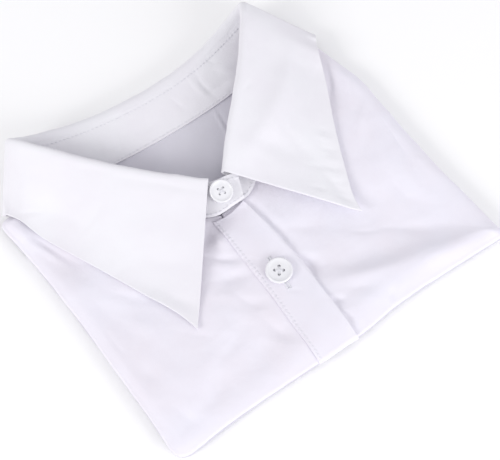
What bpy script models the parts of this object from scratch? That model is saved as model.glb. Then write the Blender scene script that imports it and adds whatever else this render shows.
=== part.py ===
"""A detachable shirt collar: a white cotton half shirt, buttoned and folded flat.

Metres, +Z up. The garment lies on its back: +Y runs from its folded bottom edge
to its neck, and +X to the viewer's right, which is the wearer's left. The tables
are in millimetres, measured from the centre of the top button, and heights from
the surface below. The finished part is moved so that the middle of its underside
is the origin.
"""
import math

import bmesh
import bpy
import numpy as np
from mathutils import Matrix, Vector

MM = 0.001
NAME = "detachable_shirt_collar"

# Cloth, in millimetres
PANEL_CLOTH = 1.2
COLLAR_CLOTH = 1.6
BAND_CLOTH = 1.8
GAP = 0.3
SEAM_STEP = 0.6
REST_GAP = 0.5

# Heights of the middle of the cloth
FRONT_HEIGHT = 9.2
EDGE_HEIGHT = 7.6
EDGE_ROLL = 1.75
TURN_UNDER = 3.0
BACK_HEIGHT = 4.6

# Hidden layers: the folded cloth below the fronts
FLOOR_TOP = 3.6
LAYERS_TOP = 3.15
LAYERS_CLEAR = 1.0
NECK_LEDGE = 2.0
NECK_RAMP = 12.0
LEAF_RECESS = 1.9
RECESS_START = 34.0
RECESS_RAMP = 3.0

# Centre front
FRONT_SPLIT = -7.0
PLACKET_TOP = -10.2
PLACKET_SHORT = 3
PLACKET_GAP = 0.5
NECK_CENTRE = -9.8
ROW_SPREAD = 1.35
COLUMN_SPREAD = 1.3
NECK_OVERLAP = 1.5

# Buttons: the collar's is smaller than the front's, and both have four holes.
# Places are x, y of their middles.
TOP_BUTTON_RADIUS = 7.0
SECOND_BUTTON_RADIUS = 7.9
BUTTON_THICK = 3.0
HOLE_SHARE = 0.11
HOLE_SPACING = 0.45
TOP_BUTTON = (-0.8, -1.9)
SECOND_BUTTON = (0.2, -58.2)
BAND_TILT = 13.0
BAND_MIDDLE = 16.2

# The folded garment's outline, anticlockwise from the left neck point.
# Columns: place, x, y, easing of the corner, depth of the rolled edge,
# how far the lower layers show beyond the top one.
OUTLINE = (
    ("left neck point", -99.0, 61.0, 0.0, 7.0, 0.0),
    ("left shoulder", -116.5, 58.5, 5.0, 7.0, 0.0),
    ("left side, high", -108.5, 10.0, 30.0, 7.0, 0.1),
    ("left side, low", -105.0, -75.0, 25.0, 7.0, 0.1),
    ("left bottom corner", -107.0, -116.0, 10.0, 10.0, 0.1),
    ("left hem", -60.0, -112.6, 25.0, 14.0, 0.1),
    ("hem left of placket", -22.0, -113.5, 8.0, 14.0, 0.1),
    ("hem right of placket", 22.0, -113.5, 8.0, 14.0, 0.1),
    ("right hem", 50.0, -110.6, 14.0, 14.0, 0.1),
    ("right bottom corner", 122.3, -112.5, 4.0, 10.0, 0.4),
    ("right side, low", 115.6, -48.0, 25.0, 7.0, 1.4),
    ("right side, high", 114.2, 17.0, 10.0, 7.0, 0.9),
    ("right shoulder", 104.0, 55.5, 6.0, 7.0, 0.0),
    ("right neck point", 92.0, 59.0, 0.0, 7.0, 0.0),
)
HEM_START = "left bottom corner"
HEM_END = "right bottom corner"

# The hidden layers' back edge, from the left neck point to the right one: x, y
BACK_EDGE = (
    (-99.0, 61.0),
    (-70.0, 57.0),
    (-35.0, 54.5),
    (0.0, 53.5),
    (35.0, 54.5),
    (68.0, 57.0),
    (92.0, 59.0),
)
BACK_EDGE_DEPTH = 7.0

# The hidden layers' edge, a ring of points at each row, from the top to the underside.
# Columns: place, distance in from the outline, height (none: on the layers' soft top).
LAYER_EDGE = (
    ("slope", 6.6, None),
    ("foot of the slope", 6.0, None),
    ("upper layer, top", 5.8, 3.15),
    ("upper layer, shoulder", 1.0, 3.1),
    ("upper layer, edge", 0.2, 2.5),
    ("groove between the layers", 1.5, 1.6),
    ("lower layer, edge", 0.0, 0.8),
    ("lower layer, foot", 0.9, 0.0),
)
PEEK_REACH = 4.0

# The largest folds of the fronts.
# Columns: place, x, y, half length, half width, direction in degrees, height.
FOLDS = (
    ("dip below the band", -6.0, -11.5, 15.0, 7.5, 4.0, -2.1),
    ("trough across the right front", 44.0, -79.0, 40.0, 9.0, -20.0, -1.9),
    ("end of that trough", 88.0, -92.0, 22.0, 9.0, -30.0, -1.2),
    ("swell above the right hem", 66.0, -102.0, 44.0, 7.0, -4.0, 0.9),
    ("dip beside the right collar", 96.0, 24.0, 24.0, 8.0, 66.0, -1.5),
    ("trough below the left collar", -95.0, 13.0, 18.0, 7.0, -64.0, -1.6),
    ("bunched left shoulder", -109.0, 46.0, 12.0, 6.0, 80.0, 1.6),
    ("swell of the left front", -66.0, -66.0, 32.0, 20.0, 30.0, 1.3),
    ("crease beside the placket", -24.0, -42.0, 18.0, 7.0, 50.0, -1.2),
    ("dip below the left point", -44.0, -94.0, 24.0, 8.0, 15.0, -0.9),
)

# The collar, from its left front edge round the back to its right front edge.
# Columns: section, fold x, y, z, radius of the fold's roll, turn of the fall about
# the section (90 on top, 0 and -180 at the side creases, -90 below), outer edge
# x, y, z, width of the strip from fold to band seam, neck seam x, y, z.
COLLAR = (
    ("left front edge", -3.2, 8.4, 19.8, 1.6, 90.0, -56.0, -59.0, 11.3, 2.4, -9.0, -10.8, 13.8),
    ("left, by the band", -12.0, 15.4, 21.2, 2.2, 90.0, -61.0, -47.0, 11.2, 4.0, -22.5, -5.5, 12.2),
    ("left front", -22.5, 24.0, 22.6, 2.6, 90.0, -69.0, -30.0, 11.2, 6.0, -38.0, 3.7, 11.5),
    ("left middle", -43.5, 44.5, 24.0, 2.8, 90.0, -83.0, 0.0, 11.2, 7.0, -64.0, 24.0, 11.4),
    ("left side", -67.0, 71.5, 24.8, 2.8, 90.0, -100.0, 35.0, 11.2, 7.5, -85.0, 45.5, 11.4),
    ("left, before the crease", -84.2, 91.1, 25.4, 2.2, 80.0, -109.5, 57.5, 11.2, 8.0, -99.5, 59.9, 11.5),
    ("left crease", -87.0, 94.6, 20.6, 2.4, 0.0, -113.5, 63.5, 5.6, 8.0, -99.5, 64.8, 9.2),
    ("left, below the crease", -81.5, 94.4, 15.6, 2.8, -80.0, -108.5, 62.5, 0.8, 8.0, -94.6, 65.6, 7.2),
    ("back left", -66.5, 92.0, 9.4, 4.6, -90.0, -80.0, 50.0, 0.8, 8.0, -70.0, 57.0, 7.1),
    ("back, left of centre", -46.0, 87.2, 6.6, 5.2, -90.0, -48.0, 45.5, 0.8, 8.0, -42.0, 53.0, 7.0),
    ("back", -18.0, 83.8, 5.8, 5.0, -90.0, -18.0, 43.0, 0.8, 8.0, -16.0, 51.5, 7.0),
    ("back, right of centre", 10.0, 83.4, 5.8, 5.0, -90.0, 10.0, 42.5, 0.8, 8.0, 9.0, 51.0, 7.0),
    ("back right", 36.0, 86.0, 6.8, 5.2, -90.0, 38.0, 44.5, 0.8, 8.0, 34.0, 52.0, 7.0),
    ("back, far right", 57.0, 90.5, 9.4, 4.6, -90.0, 68.0, 49.0, 0.8, 8.0, 60.0, 55.5, 7.1),
    ("right, below the crease", 72.5, 93.8, 15.6, 2.8, -100.0, 105.0, 58.5, 0.8, 8.0, 88.2, 63.7, 7.2),
    ("right crease", 78.0, 94.2, 20.6, 2.4, -180.0, 109.5, 59.0, 5.6, 8.0, 93.5, 62.8, 9.2),
    ("right, before the crease", 75.9, 89.9, 25.4, 2.2, -260.0, 105.0, 51.0, 11.2, 8.0, 93.6, 58.0, 11.5),
    ("right side", 58.5, 66.5, 24.8, 2.8, -270.0, 95.0, 28.0, 11.2, 7.5, 78.5, 41.0, 11.4),
    ("right middle", 38.5, 44.0, 24.0, 2.8, -270.0, 79.0, -5.0, 11.2, 7.0, 58.5, 22.0, 11.4),
    ("right front", 21.0, 26.0, 22.0, 2.8, -270.0, 68.0, -31.0, 11.2, 6.0, 36.0, 4.0, 11.4),
    ("right, by the band", 12.0, 15.6, 19.8, 2.7, -270.0, 63.0, -44.0, 11.2, 4.6, 21.0, -5.5, 11.8),
    ("right front edge", 6.2, 8.2, 18.6, 2.6, -270.0, 60.0, -54.0, 11.3, 4.0, 12.0, -9.6, 12.0),
)
LEVEL_COLUMNS = (3, 4, 8)
# The fall's curve: how far before its edge it comes down, how level it then lies on
# a front, and how far it keeps the fold's direction, all as shares.
LIE_FLAT = 0.35
LEVEL_SHARE = 0.85
FALL_REACH = 0.16

# The band's ends, which overlap at the centre front under the top button.
# Columns: place, upper edge x, y, z, lower edge x, y, z.
BUTTONHOLE_END = (
    ("end", 13.6, 3.4, 17.8, 9.0, -10.4, 14.6),
    ("right of the button", 9.0, 5.0, 18.2, 6.0, -11.0, 14.2),
    ("centre front", 1.5, 6.2, 18.3, 0.0, -11.2, 14.0),
)
BUTTON_END = (
    ("centre front", 1.0, 5.6, 15.6, 1.5, -9.6, 11.5),
    ("left of the button", -6.0, 4.2, 15.0, -7.0, -9.0, 11.0),
    ("end", -9.4, 3.0, 14.5, -10.0, -8.2, 10.8),
)

# The placket's edges: y, left x, right x
PLACKET = (
    (-10.2, -13.6, 8.8),
    (-20.0, -13.2, 9.8),
    (-34.0, -12.6, 11.8),
    (-50.0, -12.0, 13.4),
    (-66.0, -11.6, 14.6),
    (-125.0, -11.6, 15.0),
)

# The back's visible panel inside the neck: y, left x, right x
BACK_PANEL = (
    (-4.0, -14.0, 8.0),
    (8.0, -36.0, 30.0),
    (26.0, -57.0, 49.0),
    (44.0, -76.0, 66.0),
    (55.0, -84.0, 75.0),
)
BACK_DOME = 0.4
TUCK_X = 27.0
TUCK_WIDTH = 1.6
TUCK_HEIGHT = 0.45

# Mesh counts and spacing
OUTLINE_STEP = 0.5
EASING_POINTS = 13
CORNER_WEIGHT = 14.0
CORNER_BLEND = 14.0
HEM_CELLS = 10
SIDE_CELLS = 17
SOFT_RINGS = 3
ROLL_RINGS = 6
FALL_CELLS = 8
ROLL_CELLS = 5
COLLAR_SECTIONS = 58
TURN_WEIGHT = 0.28
RELAX_ROUNDS = 3
FINE_SECTIONS = 800
NECK_POINTS = 160
BAND_POINTS = 5
PLACKET_COLUMNS = 6
BACK_ROWS = 9
BACK_COLUMNS = 15
BUTTON_STEPS = 28
HOLE_SEGMENTS = 10


def smooth(rows, knots, at, level=()):
    """Values of a smooth curve through the rows, at the given knot positions.

    The level columns never pass beyond the rows beside them.
    """
    rows = np.asarray(rows, float)
    knots = np.asarray(knots, float)
    at = np.asarray(at, float)
    slopes = np.gradient(rows, knots, axis=0)
    for column in level:
        steps = np.diff(rows[:, column]) / np.diff(knots)
        rising = steps[:-1] * steps[1:] > 0
        mean = 2 * steps[:-1] * steps[1:] / np.where(rising, steps[:-1] + steps[1:], 1.0)
        slopes[1:-1, column] = np.where(rising, mean, 0.0)
        slopes[[0, -1], column] = 0.0
    k = np.clip(np.searchsorted(knots, at, side="right") - 1, 0, len(knots) - 2)
    span = knots[k + 1] - knots[k]
    t = ((at - knots[k]) / span)[:, None]
    span = span[:, None]
    start = (2 * t ** 3 - 3 * t ** 2 + 1) * rows[k] + (t ** 3 - 2 * t ** 2 + t) * span * slopes[k]
    end = (3 * t ** 2 - 2 * t ** 3) * rows[k + 1] + (t ** 3 - t ** 2) * span * slopes[k + 1]
    return start + end


def lengths(points):
    """Distance along a path at each of its points."""
    steps = np.linalg.norm(np.diff(points, axis=0), axis=1)
    return np.concatenate(([0.0], np.cumsum(steps)))


def unit(vectors):
    """Vectors of length 1."""
    return vectors / np.linalg.norm(vectors, axis=-1, keepdims=True)


def ease(t):
    """A soft step from 0 to 1."""
    t = np.clip(t, 0.0, 1.0)
    return t * t * (3.0 - 2.0 * t)


def soft_max(a, b, softness=0.35):
    """The larger of two heights, blended where they are close."""
    return 0.5 * (a + b + np.sqrt((a - b) ** 2 + softness ** 2))


def front_height(x, y):
    """Height of the middle of the fronts' cloth, with their largest folds."""
    z = np.full(np.shape(x), FRONT_HEIGHT, float)
    for _, fold_x, fold_y, half_length, half_width, direction, height in FOLDS:
        angle = math.radians(direction)
        along = (x - fold_x) * math.cos(angle) + (y - fold_y) * math.sin(angle)
        across = (y - fold_y) * math.cos(angle) - (x - fold_x) * math.sin(angle)
        z = z + height * np.exp(-(along / half_length) ** 2 - (across / half_width) ** 2)
    return z


class Outline:
    """The folded garment's outline as a fine path with inward directions."""

    def __init__(self):
        corners = np.array([row[1:3] for row in OUTLINE])
        easing = [row[3] for row in OUTLINE]
        pieces = [corners[:1]]
        marks = [0.0]
        for i in range(1, len(corners) - 1):
            before = corners[i] + easing[i] * unit(corners[i - 1] - corners[i])
            after = corners[i] + easing[i] * unit(corners[i + 1] - corners[i])
            t = np.linspace(0.0, 1.0, EASING_POINTS)[:, None]
            curve = (1 - t) ** 2 * before + 2 * t * (1 - t) * corners[i] + t ** 2 * after
            pieces.append(curve)
        pieces.append(corners[-1:])
        rough = np.concatenate(pieces)
        along = lengths(rough)
        count = int(along[-1] / OUTLINE_STEP)
        even = np.linspace(0.0, along[-1], count)
        self.path = np.stack([np.interp(even, along, rough[:, c]) for c in (0, 1)], axis=1)
        self.along = lengths(self.path)
        for corner in corners[1:]:
            nearest = np.argmin(np.linalg.norm(self.path - corner, axis=1))
            marks.append(self.along[nearest])
        self.marks = dict(zip([row[0] for row in OUTLINE], marks))
        self.depth = np.interp(self.along, marks, [row[4] for row in OUTLINE])
        self.peek = np.interp(self.along, marks, [row[5] for row in OUTLINE])
        tangent = unit(np.gradient(self.path, axis=0))
        inward = np.stack([-tangent[:, 1], tangent[:, 0]], axis=1)
        half = int(CORNER_BLEND / OUTLINE_STEP)
        padded = np.pad(inward, ((half, half), (0, 0)), mode="edge")
        window = np.ones(2 * half + 1) / (2 * half + 1)
        blended = [np.convolve(padded[:, c], window, mode="valid") for c in (0, 1)]
        self.inward = unit(np.stack(blended, axis=1))
        turning = np.abs(np.gradient(np.unwrap(np.arctan2(tangent[:, 1], tangent[:, 0]))))
        self.measure = self.along + CORNER_WEIGHT * np.cumsum(turning)

    def at(self, positions):
        """Outline point, inward direction, roll depth and peek at each position."""
        columns = (self.path, self.inward, self.depth[:, None], self.peek[:, None])
        out = []
        for column in columns:
            picked = [np.interp(positions, self.along, column[:, c]) for c in range(column.shape[1])]
            out.append(np.stack(picked, axis=1))
        out[1] = unit(out[1])
        return out

    def spread(self, start, end, cells, power=1.0):
        """Positions from start to end, closer together round the corners."""
        low, high = np.interp((start, end), self.along, self.measure)
        wanted = low + (high - low) * np.linspace(0.0, 1.0, cells + 1) ** power
        return np.interp(wanted, self.measure, self.along)

    def centre(self, x):
        """Position on the hem below a given x."""
        hem = (self.along > self.marks[HEM_START]) & (self.along < self.marks[HEM_END])
        return np.interp(x, self.path[hem, 0], self.along[hem])


def edge_profile(depth):
    """Middle line of the rolled edge: distance from the outline, height above the
    flat layer's share, and that share, from the flat cloth to the turned-under end."""
    rows = []
    for t in np.linspace(1.0, 0.0, SOFT_RINGS + 1)[1:]:
        rows.append((EDGE_ROLL + (depth - EDGE_ROLL) * t, EDGE_HEIGHT, 1 - (1 - t) ** 2))
    for angle in np.linspace(90.0, -90.0, ROLL_RINGS + 1)[1:]:
        across = EDGE_ROLL * (1 - math.cos(math.radians(angle)))
        height = EDGE_HEIGHT - EDGE_ROLL * (1 - math.sin(math.radians(angle)))
        rows.append((across, height, 0.0))
    rows.append((EDGE_ROLL + TURN_UNDER, EDGE_HEIGHT - 2 * EDGE_ROLL, 0.0))
    return rows


def edge_point(point, inward, across, height, share):
    """One point of the rolled edge, blended into the height of the flat cloth."""
    x, y = point + inward * across
    return (x, y, height + (front_height(x, y) - height) * share)


def coons(bottom, top, left, right):
    """A grid of points filled in between four boundary paths."""
    u = np.linspace(0.0, 1.0, len(bottom))[:, None, None]
    v = np.linspace(0.0, 1.0, len(left))[None, :, None]
    ruled = (1 - v) * bottom[:, None] + v * top[:, None] + (1 - u) * left[None] + u * right[None]
    corners = (1 - u) * (1 - v) * bottom[0] + u * (1 - v) * bottom[-1]
    corners = corners + (1 - u) * v * top[0] + u * v * top[-1]
    return ruled - corners


def even_path(points, cells, power=1.0):
    """A path cut into equal lengths, or into ones that grow with the power."""
    along = lengths(points)
    wanted = along[-1] * np.linspace(0.0, 1.0, cells + 1) ** power
    return np.stack([np.interp(wanted, along, points[:, c]) for c in range(points.shape[1])], axis=1)


def collar_sections(count):
    """The collar's table as a smooth row of sections, closer together in its creases."""
    rows = np.array([row[1:] for row in COLLAR])
    fold, edge, seam = rows[:, 0:3], rows[:, 5:8], rows[:, 9:12]
    knots = (lengths(fold) + lengths(edge) + lengths(seam)) / 3
    fine = np.linspace(0.0, knots[-1], FINE_SECTIONS)
    values = smooth(rows, knots, fine, LEVEL_COLUMNS)
    moved = (lengths(values[:, 0:3]) + lengths(values[:, 5:8])) / 2
    measure = moved + TURN_WEIGHT * np.abs(values[:, 4] - values[0, 4])
    at = np.interp(np.linspace(0.0, measure[-1], count), measure, fine)
    return smooth(rows, knots, at, LEVEL_COLUMNS)


def collar_frame(row):
    """Fold point, direction to the outer edge, direction from band to fall, roll."""
    fold = row[0:3]
    along = unit(row[5:8] - fold)
    up = unit(np.array((0.0, 0.0, 1.0)) - along[2] * along)
    side = np.cross(along, up)
    turn = math.radians(row[4])
    out = side * math.cos(turn) + up * math.sin(turn)
    return fold, along, out, row[3]


def leaf_section(row):
    """One section of the fall, from the band seam over the fold to the outer edge."""
    fold, along, out, roll = collar_frame(row)
    edge = row[5:8]
    seam_width = row[8]
    centre = fold + along * roll
    points = [centre - out * roll + along * (seam_width - roll)]
    for angle in np.radians(np.linspace(-90.0, 90.0, ROLL_CELLS + 1)):
        points.append(centre - along * roll * math.cos(angle) + out * roll * math.sin(angle))
    start = points[-1]
    length = np.linalg.norm(edge - start)
    near_edge = edge + (start - edge) * LIE_FLAT
    flat = math.sin(math.radians(row[4])) ** 2
    near_edge[2] = edge[2] + (near_edge[2] - edge[2]) * (1 - LEVEL_SHARE * flat)
    handle = start + along * length * FALL_REACH
    for t in np.linspace(0.0, 1.0, FALL_CELLS + 1)[1:]:
        points.append((1 - t) ** 3 * start + 3 * (1 - t) ** 2 * t * handle
                      + 3 * (1 - t) * t ** 2 * near_edge + t ** 3 * edge)
    points = np.array(points)
    if out[2] > 0.5:
        rest = (PANEL_CLOTH + COLLAR_CLOTH) / 2 + REST_GAP
        lowest = front_height(points[:, 0], points[:, 1]) + rest
        fall = slice(ROLL_CELLS + 2, None)
        points[fall, 2] = soft_max(points[fall, 2], lowest[fall])
    points[:, 2] = np.maximum(points[:, 2], COLLAR_CLOTH / 2)
    return points


def relax(rows, shares):
    """Sections eased towards their neighbours, so that the side creases stay round.

    The shares say how much each column of points takes part.
    """
    rows = np.array(rows)
    weight = 0.5 * np.asarray(shares)[None, :, None]
    for _ in range(RELAX_ROUNDS):
        rows[1:-1] += weight * (0.5 * (rows[:-2] + rows[2:]) - rows[1:-1])
    return rows


def band_edges(row):
    """Upper and lower edge of the band at one section of the collar."""
    fold, along, out, roll = collar_frame(row)
    upper = fold - out * roll + along * (row[8] + SEAM_STEP)
    return upper, row[9:12]


def neck_seam(side):
    """The fronts' neckline on one side, from the centre front to the shoulder."""
    rows = np.array([row[1:] for row in COLLAR])
    picked = rows[:6] if side == "left" else rows[:-7:-1]
    points = []
    for row in picked:
        upper, lower = band_edges(row)
        inward = unit(upper[:2] - lower[:2])
        points.append(lower[:2] + inward * NECK_OVERLAP)
    return np.array(points)


def new_object(name, mesh, material, collection):
    """An object of the part, in its collection, with its material."""
    thing = bpy.data.objects.new(name, mesh)
    thing.data.materials.append(material)
    collection.objects.link(thing)
    return thing


def mesh_from(name, points, faces):
    """A mesh in metres from points in millimetres."""
    mesh = bpy.data.meshes.new(name)
    mesh.from_pydata([tuple(MM * float(c) for c in p) for p in points], [], faces)
    mesh.update()
    return mesh


def thicken(thing, thickness):
    """A wall of the given thickness, centred on the open surface."""
    wall = thing.modifiers.new("Wall", "SOLIDIFY")
    wall.thickness = thickness * MM
    wall.offset = 0.0
    return thing


def grid_faces(rows, columns, first=0, flip=False):
    """Quads of a grid of points stored row by row."""
    faces = []
    for i in range(rows - 1):
        for j in range(columns - 1):
            a = first + i * columns + j
            quad = (a, a + 1, a + columns + 1, a + columns)
            faces.append(quad[::-1] if flip else quad)
    return faces


def sheet(name, rows, thickness, material, collection):
    """A cloth wall from a grid of points, one list for each section."""
    points = np.asarray(rows).reshape(-1, 3)
    faces = grid_faces(len(rows), len(rows[0]))
    thing = new_object(name, mesh_from(name, points, faces), material, collection)
    thing.data.shade_smooth()
    return thicken(thing, thickness)


def row_shares():
    """Rows from the hem to the neck as shares of the way, closer near the neck."""
    return 1.0 - np.linspace(1.0, 0.0, SIDE_CELLS + 1) ** ROW_SPREAD


def build_front(name, outline, side, material, collection):
    """One front: its flat cloth inside a rolled edge, cut away at the neck."""
    left = side == "left"
    split = outline.centre(FRONT_SPLIT - (GAP if left else -GAP))
    corner = outline.marks[HEM_START if left else HEM_END]
    neck = outline.marks["left neck point" if left else "right neck point"]
    hem_at = outline.spread(split, corner, HEM_CELLS, COLUMN_SPREAD)
    side_at = outline.spread(corner, neck, SIDE_CELLS)
    rim_at = np.concatenate((hem_at, side_at[1:]))
    edge, inward, depth, _ = outline.at(rim_at)
    inner = edge + inward * depth
    hem = inner[:HEM_CELLS + 1]
    flank = inner[HEM_CELLS:]
    seam = neck_seam(side)
    seam[0] = (hem[0][0], NECK_CENTRE)
    seam[-1] = flank[-1]
    neckline = even_path(seam, HEM_CELLS, COLUMN_SPREAD)
    centre = hem[0] + (seam[0] - hem[0]) * row_shares()[:, None]
    flat = coons(hem, neckline, centre, flank)
    points = [(x, y, front_height(x, y)) for x, y in flat.reshape(-1, 2)]
    columns = SIDE_CELLS + 1
    faces = grid_faces(HEM_CELLS + 1, columns, flip=not left)
    boundary = [i * columns for i in range(HEM_CELLS + 1)]
    boundary += [HEM_CELLS * columns + j for j in range(1, columns)]
    profile = [edge_profile(float(d[0])) for d in depth]
    for ring in range(len(profile[0])):
        first = len(points)
        for k in range(len(rim_at)):
            points.append(edge_point(edge[k], inward[k], *profile[k][ring]))
        following = list(range(first, len(points)))
        for k in range(len(rim_at) - 1):
            quad = (boundary[k], boundary[k + 1], following[k + 1], following[k])
            faces.append(quad if left else quad[::-1])
        boundary = following
    thing = new_object(name, mesh_from(name, points, faces), material, collection)
    thing.data.shade_smooth()
    return thicken(thing, PANEL_CLOTH)


def layer_height(x, y, front):
    """Top of the hidden layers: up under the fronts, down to the neck's floor."""
    seam = np.concatenate((neck_seam("left")[::-1], neck_seam("right")))
    near = np.min(np.linalg.norm(even_path(seam, NECK_POINTS) - np.array((x, y)), axis=1))
    inside = y > np.interp(x, seam[:, 0], seam[:, 1])
    share = 0.0 if inside else ease((near - NECK_LEDGE) / NECK_RAMP)
    below = front - PANEL_CLOTH / 2 - LAYERS_CLEAR
    return FLOOR_TOP + max(below - FLOOR_TOP, 0.0) * share


def layer_underside(y):
    """Underside of the hidden layers, raised over the collar's back."""
    return LEAF_RECESS * float(ease((y - RECESS_START) / RECESS_RAMP))


def build_layers(outline, material, collection):
    """The folded cloth below the fronts: one solid, layered at its edges."""
    corner_left = outline.marks[HEM_START]
    corner_right = outline.marks[HEM_END]
    hem_cells = 2 * HEM_CELLS
    flank_left = outline.spread(corner_left, outline.marks["left neck point"], SIDE_CELLS)
    flank_right = outline.spread(corner_right, outline.marks["right neck point"], SIDE_CELLS)
    hem_at = outline.spread(corner_left, corner_right, hem_cells)
    back = even_path(np.array(BACK_EDGE), hem_cells)
    back_in = unit(np.stack([np.gradient(back[:, 1]), -np.gradient(back[:, 0])], axis=1))
    parts = []
    for at in (hem_at, flank_right, flank_left):
        edge, inward, depth, peek = outline.at(at)
        parts.append((edge, inward, depth[:, 0], peek[:, 0]))
    back_in[0] = parts[2][1][-1]
    back_in[-1] = parts[1][1][-1]
    back_depth = np.full(hem_cells + 1, BACK_EDGE_DEPTH)
    parts.append((back, back_in, back_depth, np.zeros(hem_cells + 1)))
    inner = [edge + inward * depth[:, None] for edge, inward, depth, _ in parts]
    flat = coons(inner[0], inner[3], inner[2], inner[1])
    rows, columns = hem_cells + 1, SIDE_CELLS + 1
    points = [(x, y, layer_height(x, y, front_height(x, y))) for x, y in flat.reshape(-1, 2)]
    faces = grid_faces(rows, columns, flip=True)

    loop = [(0, i, i * columns) for i in range(rows)]
    loop += [(1, j, (rows - 1) * columns + j) for j in range(1, columns)]
    loop += [(3, i, i * columns + columns - 1) for i in range(rows - 2, -1, -1)]
    loop += [(2, j, j) for j in range(columns - 2, 0, -1)]

    def rim(across, height):
        """Points of one ring round the edge."""
        ring = []
        for part, index, _ in loop:
            edge, inward, depth, peek = (values[index] for values in parts[part])
            shown = peek if across < PEEK_REACH else 0.0
            x, y = edge + inward * (across - shown)
            if height is None:
                t = (across - EDGE_ROLL) / (depth - EDGE_ROLL)
                front = EDGE_HEIGHT + (front_height(x, y) - EDGE_HEIGHT) * (1 - (1 - t) ** 2)
                z = layer_height(x, y, front)
            else:
                base = layer_underside(y)
                z = base + height * (LAYERS_TOP - base) / LAYERS_TOP
            ring.append((x, y, z))
        return ring

    boundary = [vertex for _, _, vertex in loop]
    for _, across, height in LAYER_EDGE:
        first = len(points)
        points.extend(rim(across, height))
        following = list(range(first, len(points)))
        for k in range(len(loop)):
            n = (k + 1) % len(loop)
            faces.append((boundary[k], following[k], following[n], boundary[n]))
        boundary = following
    first = len(points)
    points += [(x, y, layer_underside(y)) for x, y in flat.reshape(-1, 2)]
    faces += grid_faces(rows, columns, first=first)
    under = [first + vertex for _, _, vertex in loop]
    for k in range(len(loop)):
        n = (k + 1) % len(loop)
        faces.append((boundary[k], under[k], under[n], boundary[n]))
    return new_object("folded_layers", mesh_from("folded_layers", points, faces), material, collection)


def offset_along_normals(rows, distance):
    """A grid of points moved out along the surface they make."""
    rows = np.asarray(rows, float)
    normal = unit(np.cross(np.gradient(rows, axis=0), np.gradient(rows, axis=1)))
    return rows + normal * distance


def placket_surface(outline):
    """The fronts' surface below the placket, from the neck round the bottom edge."""
    table = np.array(PLACKET)
    edge, _, depth, _ = outline.at([outline.centre(0.0)])
    edge_y, depth = float(edge[0, 1]), float(depth[0, 0])
    flat_y = PLACKET_TOP + (edge_y + depth - PLACKET_TOP) * (1.0 - row_shares()[::-1])
    rows = []
    for share in np.linspace(1.0, 0.0, PLACKET_COLUMNS):
        line = []
        for y in flat_y:
            x = np.interp(-y, -table[:, 0], table[:, 1] * (1 - share) + table[:, 2] * share)
            line.append((x, y, float(front_height(x, y))))
        for across, height, blend in edge_profile(depth)[:-PLACKET_SHORT]:
            y = edge_y + across
            x = np.interp(-y, -table[:, 0], table[:, 1] * (1 - share) + table[:, 2] * share)
            line.append(edge_point(np.array((x, edge_y)), np.array((0.0, 1.0)), across, height, blend))
        rows.append(line)
    return rows


def build_placket(outline, material, collection):
    """The placket strip, lying on the right front and round the bottom edge."""
    rows = placket_surface(outline)
    lying = offset_along_normals(rows, PANEL_CLOTH + PLACKET_GAP)
    return sheet("placket", lying, PANEL_CLOTH, material, collection)


def build_back(material, collection):
    """The back, as far as it shows inside the neck, with its small tuck."""
    table = np.array(BACK_PANEL)
    ys = np.linspace(table[0, 0], table[-1, 0], BACK_ROWS)
    rows = []
    for share in np.linspace(0.0, 1.0, BACK_COLUMNS):
        line = []
        for y in ys:
            left, right = (np.interp(y, table[:, 0], table[:, c]) for c in (1, 2))
            x = left + (right - left) * share
            dome = BACK_DOME * math.sin(math.pi * share) ** 2
            tuck = TUCK_HEIGHT * math.exp(-((x - TUCK_X) / TUCK_WIDTH) ** 2)
            line.append((x, y, BACK_HEIGHT + dome + tuck))
        rows.append(line)
    return sheet("back", rows, PANEL_CLOTH, material, collection)


def build_leaf(material, collection):
    """The fall: over the fronts at both sides and tucked under the back."""
    shares = np.concatenate((np.ones(ROLL_CELLS + 2), np.linspace(1.0, 0.0, FALL_CELLS + 1)[1:]))
    rows = relax([leaf_section(row) for row in collar_sections(COLLAR_SECTIONS)], shares)
    return sheet("collar_leaf", rows, COLLAR_CLOTH, material, collection)


def build_band(material, collection):
    """The stand, one strip round the neck whose ends overlap and button."""
    edges = [(np.array(row[1:4]), np.array(row[4:7])) for row in BUTTONHOLE_END]
    edges += list(relax([band_edges(row) for row in collar_sections(COLLAR_SECTIONS)], (1.0, 1.0)))
    edges += [(np.array(row[1:4]), np.array(row[4:7])) for row in BUTTON_END]
    rows = []
    for upper, lower in edges:
        rows.append([upper + (lower - upper) * t for t in np.linspace(0.0, 1.0, BAND_POINTS)])
    return sheet("collar_stand", rows, BAND_CLOTH, material, collection)


def button_profile(rim):
    """Half outline of a button, from the middle of its dish down to its back."""
    top = BUTTON_THICK
    return (
        (0.0, 0.66 * top),
        (0.57 * rim, 0.68 * top),
        (0.68 * rim, 0.88 * top),
        (0.80 * rim, top),
        (0.92 * rim, 0.92 * top),
        (rim, 0.55 * top),
        (0.95 * rim, 0.20 * top),
        (0.82 * rim, 0.0),
        (0.0, 0.0),
    )


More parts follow.
